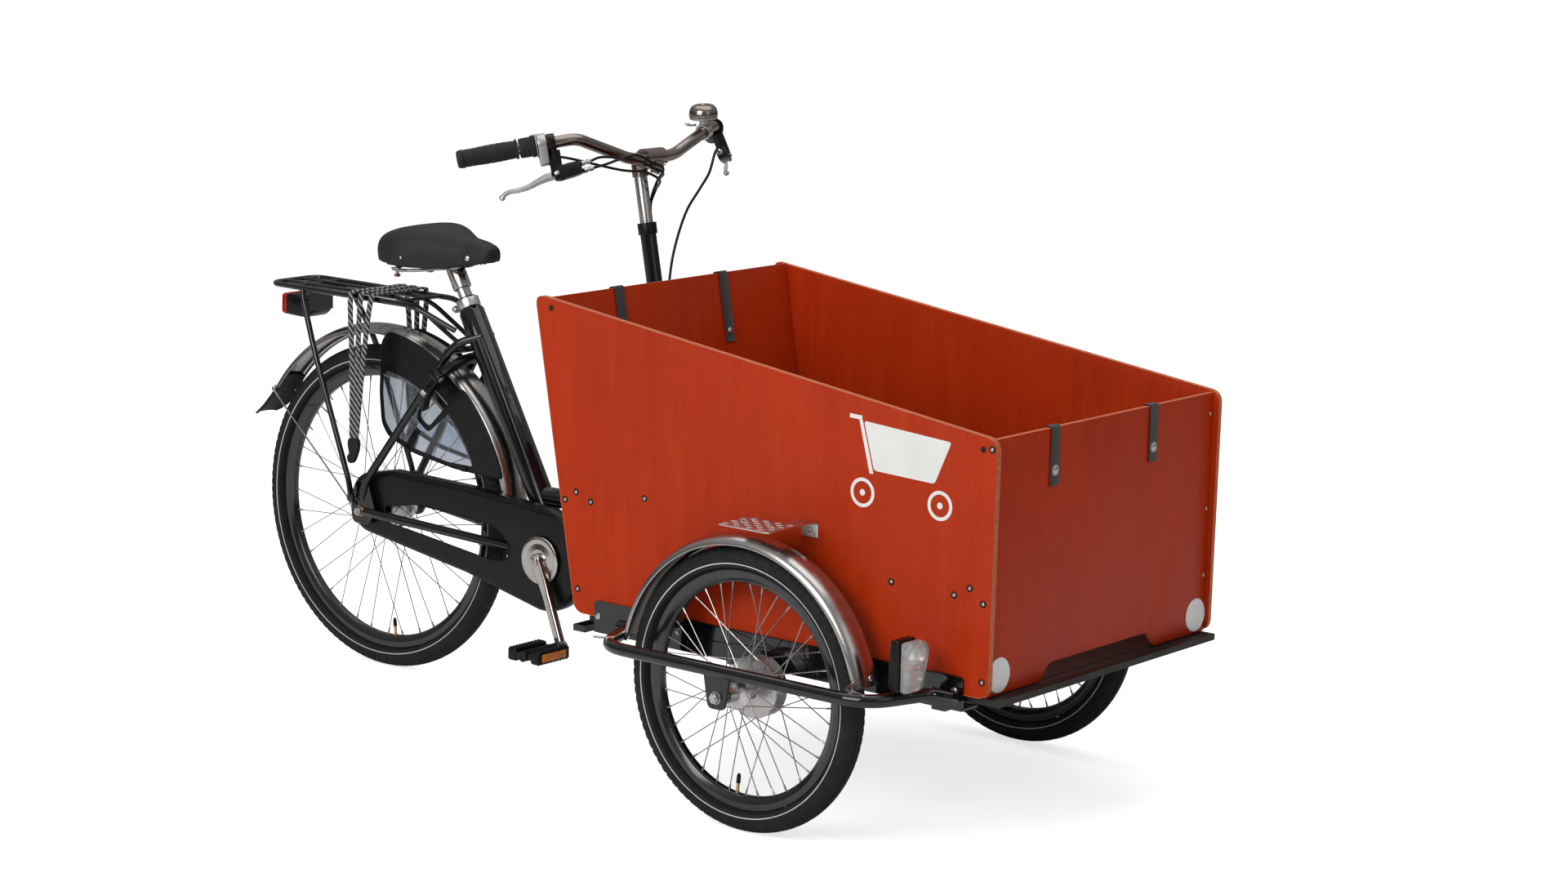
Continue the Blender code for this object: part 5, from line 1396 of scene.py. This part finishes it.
def pictogram(side, name):
    """A plain generic sign: a box on two wheels, with a bar behind it."""
    y = side * PANEL_Y
    low, high = sorted((y, y + side * PRINT))
    shapes = [smooth_outline([(1.475, 0.646), (1.6, 0.641), (1.632, 0.714), (1.452, 0.727)], 0.006, 4),
              [(1.422, 0.729), (1.448, 0.728), (1.448, 0.735), (1.422, 0.736)],
              [(1.442, 0.728), (1.449, 0.728), (1.474, 0.64), (1.466, 0.64)]]
    parts = [side_plate(outline, low, high) for outline in shapes]
    for x in (1.452, 1.612):
        parts.append(ring(0.019, 0.025, 0, PRINT, (x, y, 0.606), Y * side, 48, 0.0001))
        parts.append(ring(0.0002, 0.0055, 0, PRINT, (x, y, 0.606), Y * side, 24, 0.0001))
    piece(f"panel_pictogram_{name}", parts, "front_platform", "white_plastic")


# ---------------------------------------------------------------- round the front wheels
def wheel_fittings(side, name):
    points = [(x, side * y, GUARD_Z) for x, y in GUARD_POINTS]
    outline = smooth_outline([(FRONT_AXLE_X - 0.03, GUARD_Z + 0.002), (FRONT_AXLE_X - 0.018, 0.228),
            (FRONT_AXLE_X + 0.018, 0.228), (FRONT_AXLE_X + 0.03, GUARD_Z + 0.002)], 0.01, 5)
    low, high = span(side, 0.4815, 0.487)
    hole = rod((FRONT_AXLE_X, side * 0.46, FRONT_R), (FRONT_AXLE_X, side * 0.51, FRONT_R), 0.0066, 20)
    bar = fuse(tube(points, 0.0115, 28, 0.055, steps=10), side_plate(outline, low, high))
    remake(f"wheel_guard_{name}", carve(bar, hole), "front_platform", "frame_paint",
           bevel=0.0008)
    centre = Vector((FRONT_AXLE_X, side * FRONT_AXLE_Y, FRONT_R))
    remake(f"front_mudguard_{name}", mudguard(centre, 0.27, 0.03, 11, 169), "front_platform", "stainless")
    bolts = []
    for degrees in (14, 166):
        spot = on_circle(centre, 0.2712, math.radians(degrees))
        bolts.append(button(0.005, 0.003, spot, (spot - centre).normalized()))
    lugs = []
    for degrees, x in ((14, 1.58), (166, 0.99)):
        spot = on_circle(centre, 0.262, math.radians(degrees), side * 0.026)
        lugs.append(tube([spot, (spot.x, side * 0.462, 0.304), (x - 0.006, side * 0.482, 0.306)], 0.0022, 10,
                         0.01))
    piece(f"mudguard_bolts_{name}", bolts, "front_platform", "steel")
    piece(f"mudguard_stays_{name}", lugs, "front_platform", "stainless")
    tread_step(side, name)


def tread_step(side, name):
    """A chequered aluminium foot plate over the wheel, on a folded bracket."""
    x0, x1, y0, y1, z = 1.254, 1.364, 0.398, 0.478, 0.545
    outline = smooth_outline(corners(x0, side * y0, x1, side * y1), 0.008, 5)
    parts = [cushioned(outline, z - 0.0025, z, 0.0005, xy)]
    for i in range(8):
        for j in range(6):
            cx, cy = x0 + 0.009 + 0.013 * i, side * (y0 + 0.009 + 0.012 * j)
            lean = math.radians(45 if (i + j) % 2 else -45)
            along, across = Vector((math.cos(lean), math.sin(lean), 0)), Vector((-math.sin(lean),
                    math.cos(lean), 0))
            base = Vector((cx, cy, z - 0.0002))
            loop = [base + along * 0.0058, base + across * 0.0016, base - along * 0.0058,
                    base - across * 0.0016]
            top = [base + (p - base) * 0.6 + Z * 0.0011 for p in loop]
            parts.append(skinned([loop, top]))
    y_in = PANEL_Y + 0.0005
    path = rounded([(1.343, side * y_in, 0.515), (1.343, side * y_in, 0.5416), (1.343, side * 0.47, 0.5416)],
                   0.006, 5)
    parts.append(band(path, 0.034, 0.0018, X))
    remake(f"step_plate_{name}", parts, "front_platform", "bright_alloy")
    bolts = []
    for x in (1.276, 1.343):
        bolts.append(button(0.0042, 0.0022, (x, side * 0.438, z), Z))
    bolts.append(button(0.005, 0.003, (1.343, side * (y_in + 0.001), 0.527), Y * side))
    piece(f"step_bolts_{name}", bolts, "front_platform", "steel")


def headlight():
    back = smooth_outline([(1.589, 0.32), (1.598, 0.3075), (1.612, 0.3075), (1.612, 0.3955),
            (1.593, 0.3955)], 0.006, 6)
    parts = [cushioned(back, -0.44, -0.392, 0.004, xz), block((1.594, -0.426, 0.296), (1.612, -0.408, 0.312))]
    remake("headlight", parts, "front_platform", "black_plastic")
    lens = smooth_outline([(1.6125, 0.3085), (1.626, 0.3075), (1.632, 0.316), (1.643, 0.38), (1.635, 0.394),
            (1.6125, 0.3945)], 0.009, 6)
    piece("headlight_lens", cushioned(lens, -0.439, -0.393, 0.007, xz), "front_platform", "clear_lens")
    face = Vector((1.0, 0, -0.1)).normalized()
    bowl = [(0.0002, -0.014), (0.006, -0.013), (0.0125, -0.008), (0.0165, 0.0005), (0.0175, 0.0005),
            (0.013, -0.0095), (0.0062, -0.015), (0.0002, -0.0155)]
    inner = [turned(bowl, (1.629, -0.416, 0.372), face, 32), turned(bowl, (1.626, -0.416, 0.334), face, 32),
             block((1.614, -0.436, 0.313), (1.616, -0.396, 0.39))]
    piece("headlight_reflector", inner, "front_platform", "bright_alloy")
    wire = cord([(1.598, -0.42, 0.312), (1.59, -0.43, 0.3), (1.585, -0.452, 0.303), (1.58, -0.47, 0.3)],
                0.0022)
    piece("headlight_wire", wire, "front_platform", "black_plastic")


# ---------------------------------------------------------------- handlebar
def bar_path():
    right = [Vector((x, -y, z)) for x, y, z in BAR_POINTS]
    left = [Vector(p) for p in BAR_POINTS]
    return right[::-1] + [BAR_CLAMP - Y * 0.03, BAR_CLAMP + Y * 0.03] + left


def grip_axis(side):
    start, end = Vector(BAR_POINTS[2]), Vector(BAR_POINTS[3])
    start.y *= side
    end.y *= side
    return start, (end - start).normalized(), (end - start).length


def stem():
    stem_top = COLUMN_TOP + COLUMN_DIR * STEM_RISE
    quill = lathe(corners(0.0004, -0.15, 0.0122, STEM_RISE), COLUMN_TOP, COLUMN_DIR, 40, 0.001)
    piece("stem_quill", quill, "handlebar", "chrome")
    neck = tube([stem_top - COLUMN_DIR * 0.02, stem_top, BAR_CLAMP + Vector((-0.004, 0, -0.006))],
                (0.015, 0.0135), 32, 0.012)
    clamp = fuse(neck, rod(BAR_CLAMP - Y * 0.027, BAR_CLAMP + Y * 0.027, 0.0178, 40),
                 block(BAR_CLAMP + Vector((0.006, -0.011, -0.026)),
                       BAR_CLAMP + Vector((0.02, 0.011, -0.004))))
    clamp = carve(clamp, rod(BAR_CLAMP - Y * 0.04, BAR_CLAMP + Y * 0.04, BAR_R + GAP, 32),
                  block(BAR_CLAMP + Vector((0.002, -0.03, -0.013)),
                        BAR_CLAMP + Vector((0.024, 0.03, -0.0105))))
    remake("handlebar_stem", clamp, "handlebar", "dark_nickel", bevel=0.0012)
    bolt = BAR_CLAMP + Vector((0.0135, 0, -0.0265))
    screws = [button(0.0042, 0.0036, bolt, -Z), button(0.006, 0.003,
            stem_top + COLUMN_DIR * -0.002 + X * -0.0135, -X)]
    piece("stem_bolts", screws, "handlebar", "steel")


def handlebar():
    stem()
    remake("handlebar", tube(bar_path(), BAR_R, 28, 0.045, steps=10), "handlebar", "dark_nickel")
    for side, name in SIDES:
        start, along, length = grip_axis(side)
        first = 0.07 if side < 0 else 0.042
        grip(name, start, along, length, first)
        brake(side, name, start, along)
    twist()
    bell()


def grip(name, start, along, length, first):
    """A soft grip: flange, ribbed waist, palm swell and a closed end."""
    sleeve = BAR_R + GAP
    profile = [(sleeve, first), (0.018, first), (0.0184, first + 0.0015), (0.0178, first + 0.0035),
               (0.016, first + 0.005)]
    span = length - first - 0.018
    for k in range(17):
        d = first + 0.007 + span * k / 16
        swell = 0.0158 + 0.001 * math.sin(math.pi * min(1.0, k / 13)) + (0.00045 if k % 2 else 0.0)
        profile.append((swell, d))
    profile += [(0.0164, length - 0.008), (0.0166, length - 0.002), (0.015, length + 0.003),
                (0.011, length + 0.004), (0.0003, length + 0.0042), (0.0003, length + 0.0008),
                (sleeve, length + 0.0008)]
    remake(f"grip_{name}", turned(profile, start, along, 48), "handlebar", "grip_rubber", angle=40)
    band_ring = ring(0.0166, 0.0172, length - 0.0075, length - 0.0055, start, along, 40, 0.0003)
    piece(f"grip_{name}_band", band_ring, "handlebar", "black_plastic")


def lever_frame(side):
    """A brake lever's pivot, and the directions along it, towards the bar and of its hinge."""
    start, along, _ = grip_axis(side)
    ahead = (along - Z * LEVER_DROP).normalized()
    hinge = ahead.cross(TO_BAR).normalized()
    return start + along * 0.02 - TO_BAR, ahead, hinge.cross(ahead), hinge


def cable_exit(side):
    """From a lever's pivot to where its cable leaves the bracket."""
    return Vector((0.022, -side * 0.042, 0.012))


def brake(side, name, start, along):
    pivot, ahead, towards, hinge = lever_frame(side)
    clamp = ring(BAR_R + GAP, 0.0172, 0.0015, 0.0165, start, along, 40, 0.0015)
    tip = pivot + cable_exit(side)
    shape = smooth_outline(corners(-0.01, -0.0125, 0.01, 0.0125), 0.004, 3)
    top, foot = start + along * 0.0095 - TO_BAR * 0.25, pivot - towards * 0.004
    arm = swept([top, top.lerp(foot, 0.5), foot], lambda t: [(a * 0.78, b * 0.8) for a, b in shape])
    heading = (tip - pivot).normalized()
    tall = hinge.cross(heading).normalized()
    rings = []
    for run, scale in ((-0.006, 0.8), (0.004, 1.0), (0.03, 1.0), (0.044, 0.92), (0.0485, 0.84)):
        rings.append([pivot + heading * run + hinge * a * 0.95 * scale + tall * b * 1.05 * scale
                      for a, b in shape])
    slot = [(-0.012, -0.03), (0.045, -0.03), (0.045, 0.03), (-0.012, 0.012)]

    def place(u, v, d):
        return pivot + ahead * u + towards * v + hinge * d

    body = gather([clamp] + [carve(solid, prism(slot, -0.0036, 0.0036, place))
            for solid in (arm, skinned(rings))])
    remake(f"brake_bracket_{name}", body, "handlebar", "black_plastic", bevel=0.0008)
    metal = [button(0.0044, 0.0022, pivot + hinge * 0.0098, hinge),
             button(0.0044, 0.0022, pivot - hinge * 0.0098, -hinge)]
    for rise in ((0.0075, -0.0065) if side < 0 else (0.0,)):
        foot = tip + tall * rise + heading * 0.0015
        profile = [(0.0012, 0), (0.005, 0), (0.005, 0.006), (0.0034, 0.0068), (0.0034, 0.01),
                   (0.0046, 0.0108), (0.0046, 0.0175), (0.0028, 0.019), (0.0012, 0.019)]
        metal.append(turned(profile, foot, heading, 20))
    piece(f"brake_fittings_{name}", metal, "handlebar", "bright_alloy")
    blade(name, pivot, ahead, towards, hinge)


def blade(name, pivot, ahead, towards, hinge):
    """The lever: a slim pressed blade that curves away from the grip and ends in a ball."""
    spine = [(-0.006, 0.0, 0.0056), (0.006, -0.001, 0.0072), (0.02, -0.001, 0.0076), (0.036, -0.0035, 0.006),
             (0.056, -0.0075, 0.0052), (0.076, -0.0078, 0.0047), (0.09, -0.0062, 0.0044),
             (0.1, -0.008, 0.0042), (0.1065, -0.0125, 0.0036)]
    path = flowing([(a, b, 0) for a, b, _ in spine], 4)
    widths = flowing([(w, 0, 0) for *_, w in spine], 4)
    rings = []
    for (spot, along), width in zip(tangents(path), widths):
        flat = Vector((-along.y, along.x, 0))
        loop = []
        for u, v in circle(1.0, 18):
            at = spot + flat * u * width.x
            loop.append(pivot + ahead * at.x + towards * at.y + hinge * v * 0.003)
        rings.append(loop)
    end = pivot + ahead * path[-1].x + towards * path[-1].y
    ball = [(0.0001, -BALL_R), *arc_points(0, 0, BALL_R, BALL_R, range(-75, 76, 15)), (0.0001, BALL_R)]
    remake(f"brake_lever_{name}", [skinned(rings), turned(ball, end, hinge, 20)], f"brake_lever_{name}",
           "bright_alloy")


def twist():
    start, along, _ = grip_axis(-1)
    sleeve = BAR_R + GAP
    rings = []
    steps, ribs = 96, 24
    profile = [(sleeve, 0.038, 0), (0.0185, 0.038, 0), (0.0204, 0.0405, 0), (0.0198, 0.0445, 0),
               (0.0176, 0.047, 0), (0.0172, 0.049, 1), (0.017, 0.064, 1), (0.0168, 0.0665, 0),
               (sleeve, 0.0665, 0)]
    u, v = basis(along)
    for i in range(steps):
        a = 2 * math.pi * i / steps
        out = u * math.cos(a) + v * math.sin(a)
        rib = 0.001 * (0.5 + 0.5 * math.cos(a * ribs))
        rings.append([start + along * d + out * (r + rib * ribbed) for r, d, ribbed in profile])
    remake("twist_grip", skinned(rings, True), "twist_grip", "grip_rubber")
    cup = lathe([(BAR_R + GAP, 0.035), (0.0205, 0.035), (0.0215, 0.0358), (0.0215, 0.0372), (0.0195, 0.0378),
                 (BAR_R + GAP, 0.0378)], start, along, 48, 0.0004)
    low = (-TO_BAR - along * (-TO_BAR).dot(along)).normalized()
    side_way = along.cross(low).normalized()
    outline = arc_points(0, 0, 0.02, 0.02, range(50, 311, 10))
    outline += arc_points(0.031, 0, 0.009, 0.009, range(-60, 61, 15))

    def place(u, v, d):
        return start + along * d + low * u + side_way * v

    shell = cushioned(outline, 0.0176, 0.0348, 0.0025, place)
    shell = carve(shell, rod(start + along * 0.01, start + along * 0.04, BAR_R + GAP, 32))
    piece("shifter_housing", [cup, shell], "handlebar", "satin_alloy")


def bell():
    """A domed bell on a clamp, with its thumb lever."""
    up = Vector((0.0, -0.1, 1.0)).normalized()
    clamp_axis = (Vector(BAR_POINTS[1]) - Vector(BAR_POINTS[0])).normalized()
    on_bar = Vector(BAR_POINTS[0]).lerp(Vector(BAR_POINTS[1]), 0.8)
    dome = [(0.0002, 0.03), (0.0255, 0.03), (0.0262, 0.029), (0.027, 0.0292)]
    dome += [(0.0272 * math.cos(t) ** 0.42, 0.031 + 0.0205 * math.sin(t)) for t in
             [math.radians(d) for d in range(0, 90, 6)]] + [(0.0002, 0.0516)]
    remake("bell", turned(dome, on_bar, up, 64), "handlebar", "dark_nickel")
    base = [turned([(0.0002, 0.0236), (0.024, 0.0236), (0.0262, 0.0246), (0.0264, 0.028), (0.0002, 0.028)],
                   on_bar, up, 56), ring(BAR_R + GAP, 0.0158, -0.007, 0.007, on_bar, clamp_axis, 32, 0.001),
            rod(on_bar + up * 0.0135, on_bar + up * 0.024, 0.0085, 20)]
    piece("bell_base", base, "handlebar", "satin_alloy")
    piece("bell_rivet", button(0.0042, 0.0014, on_bar + up * 0.0514, up), "handlebar", "steel")
    pivot = on_bar + up * 0.0165 + Vector((-0.024, 0, -0.002))
    path = [pivot + Vector((0.004, 0, -0.004)), pivot + Vector((-0.008, 0.001, -0.0055)),
            pivot + Vector((-0.02, 0.004, -0.006))]
    thumb = [cord(path, 0.0022, 12), button(0.005, 0.0026, path[-1] + Z * 0.0012, Z, 20)]
    remake("bell_lever", thumb, "bell_lever", "steel")


def cables():
    """Three from the right-hand end and one from the left, all down to the platform."""
    pivot, _, _, hinge = lever_frame(-1)
    heading = cable_exit(-1).normalized()
    tall = hinge.cross(heading).normalized()
    away, across = Vector((-0.56, 0.83, 0)), Vector((0.83, 0.56, 0))

    def beside(z, out, shift):
        return on_column(z) + away * out + across * shift

    runs = []
    for rise, lift in ((0.0075, 0.005), (-0.0065, -0.004)):
        root = pivot + cable_exit(-1) + tall * rise + heading * 0.02
        runs.append([root, root + heading * 0.026, Vector((0.717, -0.085, 1.086 + lift)),
                     Vector((0.7195, -0.04, 1.07 + lift)), Vector((0.718, -0.006, 1.056 + lift)),
                     beside(1.032, 0.004, 0.029), beside(0.998, 0.018, 0.012),
                     beside(0.955, 0.0175, lift * 1.2), beside(0.89, 0.02, lift * 1.2),
                     beside(0.83, 0.023, lift * 1.2), beside(0.64, 0.0215, lift * 1.2),
                     beside(0.47, 0.0215, lift * 1.2), Vector((0.77 + lift, 0.018, 0.3))])
    start, along, _ = grip_axis(-1)
    lobe = start + along * 0.018 - TO_BAR.normalized() * 0.03
    runs.append([lobe, lobe + Vector((0.012, 0.022, 0.002)), Vector((0.71, -0.118, 1.066)),
                 Vector((0.717, -0.056, 1.058)), Vector((0.7165, -0.014, 1.04)), beside(1.018, 0.004, 0.025),
                 beside(0.99, 0.018, 0.01), beside(0.95, 0.017, 0), beside(0.89, 0.02, 0),
                 beside(0.83, 0.023, 0), beside(0.64, 0.0215, 0), beside(0.47, 0.0215, 0),
                 Vector((0.768, 0.016, 0.3))])
    root = lever_frame(1)[0] + cable_exit(1) + cable_exit(1).normalized() * 0.02
    runs.append([root, root + Vector((0.012, -0.024, 0.0)), Vector((0.716, 0.128, 1.044)),
                 Vector((0.713, 0.106, 1.016)), Vector((0.706, 0.074, 0.972)), Vector((0.708, 0.04, 0.905)),
                 Vector((0.712, 0.022, 0.84)), on_column(0.74) + Vector((-0.008, 0.02, 0)),
                 on_column(0.64) + Vector((-0.012, 0.0165, 0)),
                 on_column(0.47) + Vector((-0.011, 0.0165, 0)), Vector((0.762, 0.012, 0.3))])
    for number, run in enumerate(runs):
        obj = piece(f"cable_{number}", cord(run, 0.0025, 12, 8), None, "black_plastic", angle=60)
        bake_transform(obj)


# ---------------------------------------------------------------- everything
def dress_frame():
    """CAD nodes that stay on show take the same looks."""
    for node, obj in NODES.items():
        if obj.hide_render:
            continue
        obj.data.materials.clear()
        obj.data.materials.append(LOOKS[SLOTS[node]])


def studio():
    """White where the camera looks straight at it; reflections get a dark band at eye level."""
    scene = bpy.context.scene
    scene.view_settings.view_transform = "Standard"
    world = bpy.data.worlds.new("studio")
    scene.world = world
    world.use_nodes = True
    world.node_tree.nodes.clear()
    nodes = Nodes(world.node_tree)
    path = nodes.node("LightPath").outputs
    height = nodes.node("SeparateXYZ", Vector=nodes.node("TexCoord").outputs["Generated"]).outputs["Z"]
    ramp = nodes.node("ValToRGB", Fac=nodes.between(height, 0.0, 1.0, -1.0, 1.0))
    stops = ramp.color_ramp.elements
    stops[0].position, stops[0].color = 0.0, (0.85, 0.84, 0.83, 1)
    stops[1].position, stops[1].color = 1.0, (1.0, 1.0, 1.0, 1)
    for where, colour in ((0.455, (0.62, 0.6, 0.58, 1)), (0.485, (0.07, 0.058, 0.05, 1)),
            (0.535, (0.09, 0.08, 0.075, 1)), (0.575, (0.45, 0.45, 0.46, 1)), (0.75, (0.8, 0.8, 0.8, 1))):
        stops.new(where).color = colour
    seen = nodes.node("Background", Color=(1, 1, 1, 1), Strength=1.0)
    lit = nodes.node("Background", Color=ramp.outputs[0], Strength=WORLD_STRENGTH)
    either = nodes.node("MixShader")
    direct = nodes.maths(path["Is Camera Ray"], path["Is Transmission Ray"], "MAXIMUM")
    for index, value in enumerate((direct, lit.outputs[0], seen.outputs[0])):
        nodes.put(index, value, either)
    nodes.node("OutputWorld", Surface=either.outputs[0])


def lamp(name, where, towards, size, power):
    data = bpy.data.lights.new(name, "AREA")
    data.shape = "RECTANGLE"
    data.size, data.size_y = size
    data.energy = power
    obj = bpy.data.objects.new(name, data)
    bpy.context.scene.collection.objects.link(obj)
    obj.location = where
    obj.rotation_euler = (Vector(towards) - Vector(where)).to_track_quat("-Z", "Y").to_euler()
    obj.visible_camera = False


def floor():
    """A wide pale floor that glows for the camera only, so that it reads as plain white."""
    bm = bmesh.new()
    half, cells, drop = 60.0, 24, 0.0008
    marks = [half * (2 * k / cells - 1) for k in range(cells + 1)]
    rows = [[bm.verts.new((x, y, -drop)) for y in marks] for x in marks]
    for i in range(cells):
        for j in range(cells):
            bm.faces.new((rows[i][j], rows[i + 1][j], rows[i + 1][j + 1], rows[i][j + 1]))
    mesh = bpy.data.meshes.new("studio_floor")
    bm.to_mesh(mesh)
    bm.free()
    s = Surface("studio_floor")
    cloud = s.noise(1.4, 3.0)
    s.put("Base Color", s.mixed(s.between(cloud, 0, 1), (0.88, 0.88, 0.885), (0.9, 0.9, 0.9)))
    s.put("Roughness", s.between(cloud, 0.75, 0.85))
    s.put("Specular IOR Level", 0.1)
    s.put("Emission Color", (1, 1, 1, 1))
    s.put("Emission Strength", s.maths(s.node("LightPath").outputs["Is Camera Ray"], FLOOR_GLOW, "MULTIPLY"))
    mesh.materials.append(s.mat)
    obj = bpy.data.objects.new("studio_floor", mesh)
    bpy.context.scene.collection.objects.link(obj)


def camera():
    """The photographer's place, level with the handlebar, ahead of the box and to its right."""
    yaw, pitch, roll = (math.radians(a) for a in CAMERA_ANGLES)
    ahead = Vector((math.cos(yaw) * math.cos(pitch), math.sin(yaw) * math.cos(pitch), math.sin(pitch)))
    right = Vector((math.sin(yaw), -math.cos(yaw), 0))
    up = right.cross(ahead)
    tilted = right * math.cos(roll) + up * math.sin(roll)
    upright = up * math.cos(roll) - right * math.sin(roll)
    data = bpy.data.cameras.new("camera")
    data.lens = CAMERA_LENS
    data.sensor_width = 36
    obj = bpy.data.objects.new("camera", data)
    bpy.context.scene.collection.objects.link(obj)
    turn = Matrix((tilted, upright, -ahead)).transposed()
    obj.matrix_world = Matrix.Translation(CAMERA_PLACE) @ turn.to_4x4()
    bpy.context.scene.camera = obj


def build():
    wheels()
    axles()
    main_frame()
    chain_case()
    chain()
    cranks()
    rear_mudguard()
    rear_rack()
    coat_guards()
    ring_lock()
    bungee_straps()
    saddle()
    platform_frame()
    box()
    for side, name in SIDES:
        wheel_fittings(side, name)
    headlight()
    handlebar()
    cables()
    dress_frame()


build()
studio()
floor()
for lamp_facts in LAMPS:
    lamp(*lamp_facts)
camera()
